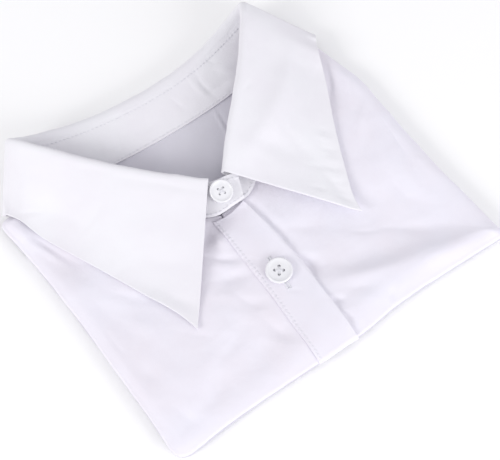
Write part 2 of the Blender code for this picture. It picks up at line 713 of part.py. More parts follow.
def build_button(name, place, base, tilt, radius, material, collections):
    """A turned button with four sewing holes, lying on the cloth."""
    collection, cutters = collections
    points = [(r, 0.0, z) for r, z in button_profile(radius)]
    mesh = bpy.data.meshes.new(name)
    vertices = [tuple(MM * c for c in point) for point in points]
    mesh.from_pydata(vertices, [(i, i + 1) for i in range(len(points) - 1)], [])
    thing = new_object(name, mesh, material, collection)
    turned = thing.modifiers.new("Turned", "SCREW")
    turned.axis = "Z"
    turned.steps = BUTTON_STEPS
    turned.render_steps = BUTTON_STEPS
    turned.use_merge_vertices = True
    turned.merge_threshold = 0.00005
    cutter = bpy.data.meshes.new(name + "_holes")
    holes = bmesh.new()
    for sx in (-1, 1):
        for sy in (-1, 1):
            spacing = radius * HOLE_SPACING / 2
            at = Vector((sx * spacing, sy * spacing, BUTTON_THICK / 2)) * MM
            hole = radius * HOLE_SHARE * MM
            bmesh.ops.create_cone(holes, cap_ends=True, segments=HOLE_SEGMENTS,
                                  radius1=hole, radius2=hole, depth=3 * BUTTON_THICK * MM,
                                  matrix=Matrix.Translation(at))
    holes.to_mesh(cutter)
    holes.free()
    drill = bpy.data.objects.new(name + "_holes", cutter)
    cutters.objects.link(drill)
    drill.hide_render = True
    drill.display_type = "WIRE"
    cut = thing.modifiers.new("Holes", "BOOLEAN")
    cut.operation = "DIFFERENCE"
    cut.object = drill
    for piece in (thing, drill):
        piece.location = Vector((place[0], place[1], base)) * MM
        piece.rotation_euler = (math.radians(tilt), 0.0, 0.0)
    return thing


def new_material(name, colour, roughness):
    """A Principled material of one colour."""
    material = bpy.data.materials.new(name)
    material.use_nodes = True
    shader = material.node_tree.nodes["Principled BSDF"]
    shader.inputs["Base Color"].default_value = (*colour, 1.0)
    shader.inputs["Roughness"].default_value = roughness
    shader.inputs["Metallic"].default_value = 0.0
    material.diffuse_color = (*colour, 1.0)
    return material


def seat_on_origin(collections):
    """Moves the part so that the middle of its underside is the origin."""
    bpy.context.view_layer.update()
    graph = bpy.context.evaluated_depsgraph_get()
    corners = []
    for thing in collections[0].objects:
        ready = thing.evaluated_get(graph)
        corners += [thing.matrix_world @ Vector(corner) for corner in ready.bound_box]
    low = [min(corner[c] for corner in corners) for c in range(3)]
    high = [max(corner[c] for corner in corners) for c in range(3)]
    shift = Vector(((low[0] + high[0]) / 2, (low[1] + high[1]) / 2, low[2]))
    for collection in collections:
        for thing in collection.objects:
            thing.location = thing.location - shift


def main():
    for thing in list(bpy.data.objects):
        bpy.data.objects.remove(thing, do_unlink=True)
    scene = bpy.context.scene
    collection = bpy.data.collections.new(NAME)
    cutters = bpy.data.collections.new(NAME + "_cutters")
    scene.collection.children.link(collection)
    scene.collection.children.link(cutters)

    front_cotton = new_material("front_cotton", (0.87, 0.86, 0.89), 0.85)
    collar_cotton = new_material("collar_cotton", (0.90, 0.89, 0.92), 0.8)
    back_cotton = new_material("back_cotton", (0.82, 0.81, 0.85), 0.88)
    button_plastic = new_material("button_plastic", (0.86, 0.86, 0.87), 0.35)

    outline = Outline()
    build_front("front_right", outline, "left", front_cotton, collection)
    build_front("front_left", outline, "right", front_cotton, collection)
    build_layers(outline, back_cotton, collection)
    build_placket(outline, front_cotton, collection)
    build_back(back_cotton, collection)
    build_leaf(collar_cotton, collection)
    build_band(collar_cotton, collection)

    both = (collection, cutters)
    rest = BAND_MIDDLE + BAND_CLOTH / 2 + 2 * GAP
    build_button("button_top", TOP_BUTTON, rest, BAND_TILT, TOP_BUTTON_RADIUS, button_plastic, both)
    rest = float(front_height(*SECOND_BUTTON)) + 1.5 * PANEL_CLOTH + 3 * GAP
    build_button("button_second", SECOND_BUTTON, rest, 0.0, SECOND_BUTTON_RADIUS, button_plastic, both)
    seat_on_origin(both)


main()
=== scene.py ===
"""Looks of the detachable shirt collar: fine cloth, stitches, buttons, light and camera.

The tables are in millimetres, measured on the table from the centre of the top
button, with heights from the surface below. They become metres in the frame where a
mesh is made.
"""
import math

import bmesh
import bpy
import numpy as np
from mathutils import Matrix, Vector, noise


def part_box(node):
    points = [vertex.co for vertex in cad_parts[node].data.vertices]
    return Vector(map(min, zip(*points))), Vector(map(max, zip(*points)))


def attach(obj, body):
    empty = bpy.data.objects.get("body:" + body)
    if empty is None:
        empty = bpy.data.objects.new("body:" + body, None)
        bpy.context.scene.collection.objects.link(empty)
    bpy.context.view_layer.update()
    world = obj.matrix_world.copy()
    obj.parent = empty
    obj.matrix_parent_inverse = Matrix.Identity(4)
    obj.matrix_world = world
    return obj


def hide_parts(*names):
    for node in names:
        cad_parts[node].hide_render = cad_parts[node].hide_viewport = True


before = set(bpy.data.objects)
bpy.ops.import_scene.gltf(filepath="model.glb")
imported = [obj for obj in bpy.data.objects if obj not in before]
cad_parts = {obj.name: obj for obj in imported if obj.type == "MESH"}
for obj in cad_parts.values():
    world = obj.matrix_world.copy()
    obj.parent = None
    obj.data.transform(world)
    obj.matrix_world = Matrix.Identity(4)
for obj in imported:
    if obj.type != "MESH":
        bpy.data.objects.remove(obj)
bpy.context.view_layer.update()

MM = 0.001

# Thickness of each cloth as it is sewn
FRONT_CLOTH = 0.5
PLACKET_CLOTH = 0.75
LEAF_CLOTH = 1.2
STAND_CLOTH = 1.5
BACK_CLOTH = 0.5

# How far the edges of collar and placket are rounded, and the weave's pitch
COLLAR_ROUNDING = 0.35
PLACKET_ROUNDING = 0.2
WEAVE_PITCH = 0.36

# The floor: half its width, and its height, in metres
FLOOR_HALF = 3.0
FLOOR_LEVEL = -0.0002

# The solids' walls, and the room between the fall and the fronts
CAD_PANEL = 1.2
CAD_COLLAR = 1.6
REST_GAP = 0.5

# Half the gap between the fronts, and how far the band goes past and over the fall's strip
GAP = 0.3
SEAM_STEP = 0.6
SEAM_LAP = 2.0

# Heights of the middle of the cloth, radius of the rolled edge, and what is turned under
FRONT_HEIGHT = 9.2
EDGE_HEIGHT = 7.6
EDGE_ROLL = 1.75
TURN_UNDER = 3.0
BACK_HEIGHT = 4.6

# Hidden layers, the folded cloth below the fronts: heights, room below the fronts, the
# ramp up from the neck, the recess over the collar's back, and the flaps' step below
FLOOR_TOP = 3.2
LAYERS_TOP = 3.15
LAYERS_CLEAR = 4.6
NECK_LEDGE = 2.0
NECK_RAMP = 12.0
LEAF_RECESS = 1.9
RECESS_START = 34.0
RECESS_RAMP = 3.0
FLAP_STEP = 0.45

# Centre front
FRONT_SPLIT = -7.0
PLACKET_TOP = -10.2
PLACKET_GAP = 0.25
PLACKET_DIP = 2.2
NECK_CENTRE = -9.8
NECK_OVERLAP = 1.5

# Buttons: places are x, y of their middles
TOP_BUTTON = (-0.9, -1.2)
SECOND_BUTTON = (0.2, -58.2)
TOP_BUTTON_RADIUS = 7.0
SECOND_BUTTON_RADIUS = 7.9
BUTTON_THICK = 2.7
TOP_HOLES = 0.09
SECOND_HOLES = 0.11
HOLE_SPACING = 0.45
TOP_TURN = -14.0
SECOND_TURN = 10.5
BAND_TILT = 13.0
BAND_MIDDLE = 16.2

# Camera: target and distance in metres, angles in degrees, lens and sensor in millimetres
TARGET = (-0.0020, -0.0178, 0.010)
AZIMUTH = -34.5
ELEVATION = 68.0
DISTANCE = 0.65
LENS = 81.1
SENSOR = 36.0

# The folded garment's outline, anticlockwise from the left neck point.
# Columns: place, x, y, easing of the corner, depth of the rolled edge,
# how far the lower layers show beyond the top one.
OUTLINE = (
    ("left neck point", -99, 61, 0, 7, 0),
    ("left shoulder", -116.5, 58.5, 5, 7, 0),
    ("left side, high", -109.6, 10, 30, 7, 0.1),
    ("left side, low", -105.6, -75, 25, 7, 0.1),
    ("left bottom corner", -105.5, -116, 10, 10, 0.1),
    ("left hem", -60, -112.6, 25, 14, 0.1),
    ("hem left of placket", -22, -113.5, 8, 14, 0.1),
    ("hem right of placket", 22, -113.5, 8, 14, 0.1),
    ("right hem", 50, -110.6, 14, 14, 0.1),
    ("right bottom corner", 122.3, -112.5, 4, 10, 0.4),
    ("right side, low", 115.6, -48, 25, 7, 1.4),
    ("right side, high", 114.2, 17, 10, 7, 0.9),
    ("right shoulder", 104, 55.5, 6, 7, 0),
    ("right neck point", 92, 59, 0, 7, 0),
)
HEM_START = "left bottom corner"
HEM_END = "right bottom corner"

# The hidden layers' back edge, from the left neck point to the right one: x, y
BACK_EDGE = (
    (-99, 61),
    (-70, 57),
    (-35, 54.5),
    (0, 53.5),
    (35, 54.5),
    (68, 57),
    (92, 59),
)
BACK_EDGE_DEPTH = 7.0

# The hidden layers' edge: a ring of points at each row, from the top to the underside.
# Columns: distance in from the outline, height (none: on the layers' soft top).
LAYER_EDGE = (
    (6.6, None),
    (6, None),
    (5.8, 3.15),
    (3, 3.15),
    (1.4, 3.12),
    (0.6, 2.95),
    (0.2, 2.6),
    (0.25, 2.2),
    (0.8, 1.85),
    (1.9, 1.65),
    (0.9, 1.5),
    (0.25, 1.25),
    (0, 0.85),
    (0.2, 0.4),
    (0.9, 0.08),
    (2, 0),
)
PEEK_REACH = 4.0

# The largest folds of the fronts, as in the solids.
# Columns: place, x, y, half length, half width, direction in degrees, height.
FOLDS = (
    ("dip below the band", -6, -11.5, 15, 7.5, 4, -2.1),
    ("trough across the right front", 44, -79, 40, 9, -20, -1.9),
    ("end of that trough", 88, -92, 22, 9, -30, -1.2),
    ("swell above the right hem", 66, -102, 44, 7, -4, 0.9),
    ("dip beside the right collar", 96, 24, 24, 8, 66, -1.5),
    ("trough below the left collar", -95, 13, 18, 7, -64, -1.6),
    ("bunched left shoulder", -109, 46, 12, 6, 80, 1.6),
    ("swell of the left front", -66, -66, 32, 20, 30, 1.3),
    ("crease beside the placket", -24, -42, 18, 7, 50, -1.2),
    ("dip below the left point", -44, -94, 24, 8, 15, -0.9),
)

# The broad facet beside the placket, which rises to the hem and faces away from the light.
# Rows: places from left to right in the picture, its low line and its high line, both
# upwards in the picture, and its depth at the high line.
FACET = (
    (30, 44.8, 54.8, 70.7, 86.6, 101.6, 116.2, 130.9, 145.6, 156),
    (-44, -44.5, -45.6, -47, -46, -41.4, -34.7, -29.2, -23.8, -21),
    (-27, -25, -22.5, -20, -18.5, -17.5, -17, -17.5, -19.5, -20),
    (0, 1.3, 2.7, 3.6, 4, 3.8, 3.1, 2, 0.8, 0),
)
FACET_RETURN = 42.0
FACET_SOFTNESS = 0.06
PICTURE_RIGHT = (0.8241, -0.5664)

# Creases, given one by one: soft troughs where the height is below nought, and ridges.
# Columns: place, x, y, half length, half width, direction in degrees, bend, height.
FRONT_CREASES = (
    ("crease to the placket", -20.4, -34.2, 10, 2.2, -35, 0.8, -0.8),
    ("ridge below it", -22, -39, 10, 3.2, -32, 0.4, 0.3),
    ("lump by the left point", -17.6, -24, 5, 3.4, -67, 0, 0.9),
    ("hollow by the band", -20, -16.5, 6, 4, 40, 0, -1),
    ("shade below the crease", -20, -47.5, 11, 3.6, -20, 0.4, -0.7),
    ("light patch", -31, -54, 8, 4.5, -34, 0, 0.5),
    ("dark patch", -22.5, -65, 8, 3.2, -48, 1.5, -0.7),
    ("fold beside the dark patch", -30, -70, 11, 3.4, -58, -0.6, 0.25),
    ("arc by the low placket", -19.5, -87, 9, 3.4, -66, 1.2, -0.75),
    ("ridge beside the arc", -26, -91, 9, 3.6, -60, 0.8, 0.25),
    ("streak left of the arc", -42, -78, 14, 3.6, 22, 0.8, -0.4),
    ("low trough, left", -65, -94, 13, 5.4, 30, 0.6, -0.8),
    ("ridge above that trough", -68, -84, 14, 4.2, 34, 0.4, 0.25),
    ("crease at the left corner", -88, -100, 10, 4.2, -72, 0.4, -0.6),
    ("shade on the left side", -91, -28, 11, 5.2, -62, 1.5, -0.75),
    ("swell beside it", -82, -40, 13, 4.4, -58, 0, 0.6),
    ("second shade", -77, -24, 9, 3, -50, 0, -0.5),
    ("low shade on the side", -93, -66, 9, 5, -62, 2, -0.5),
    ("ridge beyond it", -84, -72, 12, 5.4, -66, 2, 0.4),
    ("thin crease, left side", -99, -44, 9, 1.6, -80, 1, -0.2),
    ("thin crease, middle", -56, -66, 11, 2, -44, 0.5, -0.2),
    ("thin crease, under the point", -48, -70, 8, 2, 10, 0.4, 0.15),
    ("crease below the left leaf", -96, 20, 16, 2.6, -62, 1.5, -0.9),
    ("its ridge", -102, 26, 11, 2.4, -64, 0, 0.6),
    ("tuck at the left shoulder", -112, 38, 5, 1.6, 30, 0, -0.7),
    ("gap beside the placket", 13.2, -33, 17, 3.4, -85, 0, -1.3),
    ("pocket beside the placket", 17.4, -62.5, 8, 4.2, -64, 0, -2.2),
    ("high line of the facet", 84, -81.5, 15, 3.4, -34, 0.4, -0.8),
    ("hem swell", 80, -98, 34, 7, -17, 0, 1.6),
    ("shade above the hem", 36, -93, 8, 3.4, -30, 0, -0.4),
    ("dimple by the placket", 18.4, -91, 4.6, 2.2, -40, 0, -0.9),
    ("dimple below it", 17.4, -102.5, 4.2, 1.5, -75, 0, -0.7),
    ("notch in the hem", 44.8, -106.5, 3.6, 1.2, 58, 0, -0.8),
    ("pucker beside the notch", 50, -106, 4, 1.8, 62, 0, 0.35),
    ("shade below the right leaf", 30, -45, 11, 4, -32, 0, -0.5),
    ("light below the right leaf", 38, -54, 14, 4.5, -34, 0, 0.4),
    ("thin crease below the leaf", 58, -66, 10, 1.4, -30, 1, -0.3),
    ("ridge, right side", 97, -7, 11, 3.6, -126, 1, 0.55),
    ("shade, right side", 89, -22, 12, 3.4, -118, 1, -0.5),
    ("low ridge, right side", 98, -48, 15, 3.6, -100, 2, 0.45),
    ("low shade, right side", 88, -56, 12, 3.2, -84, 2, -0.45),
    ("thin crease, right side", 106, -30, 12, 1.3, -96, 0, -0.3),
    ("crease in the dip", 98, 27, 11, 2, 62, 1, -0.6),
    ("ridge beside the dip", 104, 18, 9, 2.2, 70, 0, 0.45),
    ("rise to the band", 0, -9, 18, 3.4, 0, 0, 0.5),
    ("hem roll by the placket", 42, -87, 18, 6, -27, 0, 0.9),
)
PLACKET_CREASES = (
    ("hollow below the band", -8, -15, 6, 4, -30, 0, -0.35),
    ("swell below the hollow", -3, -33, 9, 6, -62, 0, 0.45),
    ("crease to the button", -8.3, -44.5, 8, 1.5, -47, 0, -0.45),
    ("shade above the button", 4, -46, 6, 2.4, 10, 0, -0.2),
    ("pucker below the button", 2, -73, 5, 1.6, -40, 0, -0.22),
    ("low swell", 4, -92, 9, 5, 80, 0, 0.3),
    ("rise to the band", -2, -9, 18, 3.4, 0, 0, 0.7),
)
LEAF_CREASES = (
    ("right streak, high", 68.5, 35.8, 18, 7.5, -132, 0, 2.2),
    ("right streak, middle", 51.5, 22, 16, 7, -138, 0, 2.2),
    ("right streak, low", 31, 13, 12, 5, -150, 0, 1.1),
    ("right pinch at the fold", 49, 43.7, 5.5, 1.2, 17, 0, -0.35),
    ("right low shade", 46, 0, 16, 7, -50, 0, -1.1),
    ("right lump at the edge", 70.5, -5, 5, 1.5, -50, 0, 0.4),
    ("right wrinkle 1", 73, 0, 4.5, 1.1, -42, 0, -0.3),
    ("right wrinkle 2", 68.5, -12.5, 5.5, 1.1, -44, 0.5, -0.4),
    ("right lump below it", 66, -19, 5, 1.4, -40, 0, 0.4),
    ("right wrinkle 3", 57, -18.2, 8, 1.2, -36, 0, -0.35),
    ("right wrinkle 4", 64, -24.5, 5, 1, -38, 0, -0.4),
    ("right wrinkle 5", 61.5, -33, 5, 1, -38, 0, -0.4),
    ("right wrinkle 6", 48, -30, 6.5, 1.2, -41, 0, -0.45),
    ("right wrinkle 7", 57.3, -43, 5.5, 1.1, -50, 0, -0.45),
    ("right long shade", 56, -6, 20, 4, -78, 1, -0.5),
    ("right shade at the point", 58.5, -39, 11, 4, -84, 0, -1.3),
    ("right lifted front edge", 42, -33, 24, 8, -49, 0, 1.5),
    ("left shade at the point", -54, -44, 9, 4.2, -60, 0, -0.8),
    ("left lifted outer edge", -67, -40, 17, 7, -66, 0, 1.4),
    ("left shade above it", -44, -22, 12, 5, -30, 1, -0.35),
    ("left shade along the fold", -30, 22, 22, 3, 136, 0, -0.35),
    ("left swell", -58, 8, 24, 11, 128, 0, 0.6),
    ("left shade at the side", -86, 42, 15, 5, 118, 0, -0.5),
    ("left pucker at the side", -99, 52, 7, 1.6, 150, 0, -0.4),
    ("left thin crease", -70, 27, 11, 1.3, 20, 1, -0.25),
    ("left wrinkle at the edge", -66, -28, 5, 1.2, 24, 0, -0.25),
    ("left second wrinkle", -76, -8, 5.5, 1.2, 14, 0, -0.25),
)
LEAF_BACK_CREASES = (
    ("wrinkle 1", -30, 60, 9, 1.4, 78, 1, -0.4),
    ("wrinkle 2", 5, 62, 10, 1.5, 95, -1, -0.35),
    ("wrinkle 3", 42, 60, 9, 1.4, 70, 0, -0.4),
)
STAND_CREASES = (
    ("wrinkle to the tuck", 31.5, 66, 9, 1.6, -84, 1, -0.6),
    ("ridge beside it", 27.5, 66.5, 8, 1.8, -80, 1, 0.45),
    ("wrinkle across", 38, 61, 8, 1.5, 4, 0, -0.5),
    ("light lump", 47.5, 70, 5.5, 2.6, -53, 0, 0.6),
    ("short wrinkle", 44, 77, 5, 1.3, -60, 0, -0.45),
    ("wrinkle, middle", 12, 64, 7, 1.6, -74, 0, -0.35),
    ("long shade", -8, 62, 16, 2.4, 6, 0.5, -0.35),
    ("wrinkle, left", -30, 63, 8, 1.6, 60, 0, -0.35),
    ("lump, left", -38, 66, 8, 2.6, 50, 0, 0.35),
)
BACK_CREASES = (
    ("tuck", 27.3, 42, 11, 0.8, -96, 0, 0.55),
    ("shade of the tuck", 28.8, 41, 10, 1, -96, 0, -0.35),
    ("long fold", -20, 36, 20, 3, 40, 0, 0.4),
    ("hollow", 2, 22, 14, 4, 60, 0, -0.4),
    ("fold by the left stand", -46, 42, 16, 3, 128, 0, -0.35),
)

# The collar, from its left front edge round the back to its right front edge.
# Columns: section, fold x, y, z, radius of the fold's roll, turn of the fall about
# the section (90 on top, 0 and -180 at the side creases, -90 below), outer edge
# x, y, z, width of the strip from fold to band seam, neck seam x, y, z.
COLLAR = (
    ("left front edge", -3.2, 8.4, 19.8, 1.6, 90, -57, -61, 11.3, 2.4, -9, -10.8, 12.4),
    ("left, by the band", -12, 15.4, 21.2, 2.2, 90, -61, -47, 11.2, 4, -22.5, -5.5, 11.7),
    ("left front", -22.5, 24, 22.6, 2.6, 90, -69, -30, 11.2, 6, -38, 3.7, 11.5),
    ("left middle", -43.5, 44.5, 24, 2.8, 90, -83, 0, 11.2, 7, -64, 24, 11.4),
    ("left side", -67, 71.5, 24.8, 2.8, 90, -100, 35, 11.2, 7.5, -85, 45.5, 11.4),
    ("left, before the crease", -83.4, 91.9, 25.4, 2.2, 80, -107.8, 56.4, 11.2, 8, -99.5, 59.9, 11.5),
    ("left crease", -85.5, 96.1, 20.6, 2.4, 0, -111.8, 62.4, 5.6, 8, -99.5, 64.8, 9.2),
    ("left, below the crease", -80, 96, 15.6, 2.8, -80, -106.8, 61.4, 0.8, 8, -94.6, 65.6, 7.2),
    ("back left", -65.5, 93.8, 9.4, 4.6, -90, -80, 50, 0.8, 8, -70, 57, 7.1),
    ("back, left of centre", -46, 89.2, 6.6, 5.2, -90, -48, 45.5, 0.8, 8, -42, 53, 7),
    ("back", -18, 85.8, 5.8, 5, -90, -18, 43, 0.8, 8, -16, 51.5, 7),
    ("back, right of centre", 10, 85, 5.8, 5, -90, 10, 42.5, 0.8, 8, 9, 51, 7),
    ("back right", 36, 87.2, 6.8, 5.2, -90, 38, 44.5, 0.8, 8, 34, 52, 7),
    ("back, far right", 57.2, 92.6, 9.4, 4.6, -90, 68, 49, 0.8, 8, 60, 55.5, 7.1),
    ("right, below the crease", 72.9, 96, 15.6, 2.8, -100, 105, 58.5, 0.8, 8, 88.2, 63.7, 7.2),
    ("right crease", 78.4, 96.4, 20.6, 2.4, -180, 109.5, 59, 5.6, 8, 93.5, 62.8, 9.2),
    ("right, before the crease", 76.2, 91.4, 25.4, 2.2, -260, 105, 51, 11.2, 8, 93.6, 58, 11.5),
    ("right side", 58.5, 66.5, 24.8, 2.8, -270, 95, 28, 11.2, 7.5, 78.5, 41, 11.4),
    ("right middle", 38.5, 44, 24, 2.8, -270, 79, -5, 11.2, 7, 58.5, 22, 11.4),
    ("right front", 21, 26, 22, 2.8, -270, 68, -31, 11.2, 6, 36, 4, 11.4),
    ("right, by the band", 12, 15.6, 19.8, 2.7, -270, 63, -44, 11.2, 4.6, 21, -5.5, 11.8),
    ("right front edge", 6.2, 8.2, 18.6, 2.6, -270, 60.8, -55, 11.3, 4, 12, -9.6, 11),
)
LEVEL_COLUMNS = (3, 4, 8)
LIE_FLAT = 0.35
LEVEL_SHARE = 0.85
FALL_REACH = 0.16

# The band's ends, which overlap at the centre front under the top button.
# Columns: place, upper edge x, y, z, lower edge x, y, z.
BUTTONHOLE_END = (
    ("end", 13.6, 3.4, 17.6, 9, -10.4, 13.1),
    ("right of the button", 9, 5, 18, 5.4, -10.5, 12.6),
    ("centre front", 1.5, 6.2, 18.2, 0, -10.5, 12.3),
)
BUTTON_END = (
    ("centre front", 1, 5.6, 15.6, 1.5, -9.6, 10.5),
    ("left of the button", -6, 4.2, 15, -7, -9, 10.2),
    ("end", -9.4, 3, 14.5, -10, -8.2, 10.1),
)

# The placket's edges: y, left x, right x
PLACKET = (
    (-10.2, -13.6, 8.8),
    (-20, -13.2, 9.8),
    (-34, -12.6, 11.8),
    (-50, -12, 13.4),
    (-66, -11.6, 14.6),
    (-125, -11.6, 15),
)

# The back's visible panel inside the neck: y, left x, right x
BACK_PANEL = (
    (-4, -14, 8),
    (8, -36, 30),
    (26, -57, 49),
    (44, -76, 66),
    (55, -84, 75),
)
BACK_DOME = 0.4
BACK_RISE = 1.4

# Every crease: how it narrows across, widens along and where it ends
CREASE_SHARPNESS = 0.9
CREASE_TAPER = 0.35
CREASE_REACH = 2.2

# The fronts' creases: how much deeper they are than their table says, the share of them
# that shows through under the placket, and how softly that starts
CREASE_DEPTH = 1.3
PLACKET_SHARE = 0.12
PLACKET_EASE = 1.0

# Unevenness of each cloth. Columns: height, size, seed.
FRONT_RIPPLES = ((0.55, 24, 3.1), (0.26, 10, 8.7), (0.09, 4, 1.9))
PLACKET_RIPPLES = ((0.12, 9, 7.7),)
BACK_RIPPLES = ((0.3, 20, 2.2), (0.12, 7, 9.3))
LEAF_RIPPLES = ((0.3, 24, 1.3), (0.13, 9, 5.9))
FOLD_RIPPLES = ((0.35, 13, 8.8), (0.2, 5.5, 3.1))
STAND_RIPPLES = ((0.25, 14, 6.6), (0.1, 5, 2.9))
LAYER_RIPPLES = ((0.5, 21, 4.4),)
FLAP_RIPPLES = ((0.25, 30, 5.5),)

# The same along the fronts' edges: columns are height and size, and each side has a seed
EDGE_SWAY = ((0.45, 19), (0.16, 6))
EDGE_LIFT = ((0.3, 15),)
LEFT_SEED = 2.3
RIGHT_SEED = 6.1

# Flaps folded under, seen from below: where the garment ends, how far the flaps reach
# inwards from there, how their edges stand out, and where their unevenness fades
LEFT_END = -107.0
RIGHT_END = 116.0
BOTTOM_END = -113.0
SIDE_FLAP = 62.0
BOTTOM_FLAP = 74.0
FLAP_RIDGE = 0.25
FLAP_EDGE = 0.8
FLAP_FADE = (115.0, 20.0)

# Placket: how its top edge dips, how its free edge lifts and its sewn edge sinks
DIP_SPAN = 0.85
DIP_REACH = 14.0
FREE_LIFT = 0.5
FREE_REACH = 2.5
SEWN_SINK = 0.18
LOWEST_DETAIL = -0.2

# Back: where it starts to rise to the band, and over how far
RISE_START = 30.0
RISE_REACH = 18.0

# Fall: heights of its upper and hidden sides, its roll, the bead and hollow along its
# edges, how it settles towards its points and where it starts to rest on the fronts
UPPER_SIDE = 9.0
HIDDEN_SIDE = 4.0
SIDE_EASE = 2.0
CREASE_START = 0.12
ROLL_COLUMN = 3.5
ROLL_REACH = 2.0
BEAD = (0.14, 1.1)
HOLLOW = (0.05, 4.0, 2.2)
SETTLE = (0.6, 0.4, 0.5)
LEAF_GAP = 0.2
LEAF_SOFTNESS = 0.25
REST_START = 0.02
FLOOR_GAP = 0.05

# Stitches: distance from one to the next, length and width of one, how deep and wide
# the seam sits, and how far each row is from its edge
STITCH_PITCH = 2.6
STITCH_LENGTH = 1.9
STITCH_WIDTH = 0.4
STITCH_SINK = 0.42
STITCH_TROUGH = 0.75
EDGE_STITCH = 1.6
BAND_STITCH = 2.6
PLACKET_STITCH = 1.5
STITCH_LIFT = 0.05
STITCH_DRIFT = 0.12
STITCH_SKEW = 4.0
STITCH_GROWTH = 0.06
ROW_UNEVEN = 0.6

# One stitch. Columns: place along it, size and height of its ring of points.
STITCH_RINGS = (
    (-0.5, 0.35, -0.3),
    (-0.36, 0.85, 0.35),
    (0, 1, 0.6),
    (0.36, 0.85, 0.35),
    (0.5, 0.35, -0.3),
)
STITCH_SIDES = 6

# Buttonholes: x and y of both ends, half the space between the two rows, half the width
# of the bars at the ends and how far out they are; then pitch, length and width of the
# stitches of rows and bars, and their unevenness
TOP_HOLE = ((TOP_BUTTON[0] - 7.4, TOP_BUTTON[1] + 0.2),
            (TOP_BUTTON[0] + 8.4, TOP_BUTTON[1] - 0.2))
SECOND_HOLE = ((SECOND_BUTTON[0] - 0.2, SECOND_BUTTON[1] + 9.8),
               (SECOND_BUTTON[0] - 0.8, SECOND_BUTTON[1] - 11.2))
HOLE_ROW = 0.85
HOLE_BAR = 1.3
BAR_OUT = 0.3
HOLE_STITCH = (0.34, 1.15, 0.5)
BAR_STITCH = (0.36, 1.3, 0.36)
HOLE_UNEVEN = 0.3
BAR_UNEVEN = 0.5

# Button forms: height of the dish as a share, space below the buttons, and the thread
DISH = 0.78
TOP_SPACE = 0.5
SECOND_SPACE = 0.35
THREAD_SHIFTS = (-0.22, 0.2)
THREAD_WIDTH = 0.42
THREAD_PAST = 0.5
SHANK_LEVELS = (-0.55, -0.2, 0.1)
SHANK_RADIUS = 0.9
SHANK_STITCH = (0.5, 0.8, 0.5)

# Lamps. Columns: name, direction from the target to the picture's right, to its top and
# upwards, distance, size, power, colour.
LAMPS = (
    ("key", -0.9, -0.55, 0.6, 1.9, 0.7, 13.2, (1.0, 0.985, 0.975)),
    ("fill", 1.0, -0.8, 0.5, 1.5, 0.8, 10.5, (0.985, 0.985, 1.0)),
    ("rim", 0.5, 0.6, 0.8, 1.5, 1.0, 1.4, (1.0, 0.985, 0.99)),
)

# Mesh counts and spacing
OUTLINE_STEP = 0.5
EASING_POINTS = 13
CORNER_WEIGHT = 14.0
CORNER_BLEND = 14.0
HEM_CELLS = 96
SIDE_CELLS = 140
SOFT_RINGS = 10
ROLL_RINGS = 10
LAYER_HEM_CELLS = 110
LAYER_SIDE_CELLS = 90
FALL_CELLS = 8
ROLL_CELLS = 5
COLLAR_SECTIONS = 58
TURN_WEIGHT = 0.28
RELAX_ROUNDS = 3
FINE_SECTIONS = 800
LEAF_SECTIONS = 360
LEAF_STRIP_CELLS = 4
LEAF_ROLL_CELLS = 12
LEAF_FALL_CELLS = 62
STAND_SECTIONS = 560
STAND_CELLS = 20
PLACKET_CELLS = 26
PLACKET_ROWS = 200
BACK_ROWS = 70
BACK_COLUMNS = 110
BUTTON_STEPS = 72
BUTTON_POINTS = 40
HOLE_SEGMENTS = 20
SHANK_POINTS = 13
HOLE_POINTS = 60
NECK_POINTS = 160
FRONT_END = 100


def smooth(rows, knots, at, level=()):
    """Values of a smooth curve through the rows, at the given knot positions.

    The level columns never pass beyond the rows beside them.
    """
    rows = np.asarray(rows, float)
    knots = np.asarray(knots, float)
    at = np.asarray(at, float)
    slopes = np.gradient(rows, knots, axis=0)
    for column in level:
        steps = np.diff(rows[:, column]) / np.diff(knots)
        rising = steps[:-1] * steps[1:] > 0
        mean = 2 * steps[:-1] * steps[1:] / np.where(rising, steps[:-1] + steps[1:], 1.0)
        slopes[1:-1, column] = np.where(rising, mean, 0.0)
        slopes[[0, -1], column] = 0.0
    k = np.clip(np.searchsorted(knots, at, side="right") - 1, 0, len(knots) - 2)
    span = knots[k + 1] - knots[k]
    t = ((at - knots[k]) / span)[:, None]
    span = span[:, None]
    start = (2 * t ** 3 - 3 * t ** 2 + 1) * rows[k] + (t ** 3 - 2 * t ** 2 + t) * span * slopes[k]
    end = (3 * t ** 2 - 2 * t ** 3) * rows[k + 1] + (t ** 3 - t ** 2) * span * slopes[k + 1]
    return start + end


def lengths(points):
    """Distance along a path at each of its points."""
    steps = np.linalg.norm(np.diff(points, axis=0), axis=1)
    return np.concatenate(([0.0], np.cumsum(steps)))


def at_lengths(wanted, along, points):
    """Points of a path where its distances along take the wanted values."""
    return np.stack([np.interp(wanted, along, column) for column in points.T], axis=-1)


def unit(vectors):
    """Vectors of length 1."""
    return vectors / np.linalg.norm(vectors, axis=-1, keepdims=True)


def ease(t):
    """A soft step from 0 to 1."""
    t = np.clip(t, 0.0, 1.0)
    return t * t * (3.0 - 2.0 * t)


def soft_max(a, b, softness=0.35):
    """The larger of two heights, blended where they are close."""
    return 0.5 * (a + b + np.sqrt((a - b) ** 2 + softness ** 2))


def ripple(x, y, size, seed):
    """Smooth uneven noise, about -1 to 1, at each point."""
    x, y = np.broadcast_arrays(np.asarray(x, float), np.asarray(y, float))
    pairs = zip(np.ravel(x) / size, np.ravel(y) / size)
    values = [noise.noise((a, b, seed)) for a, b in pairs]
    return np.reshape(values, x.shape)


def ripples(x, y, table):
    """The unevenness of one cloth, from each row of its table."""
    return sum(height * ripple(x, y, size, seed) for height, size, seed in table)


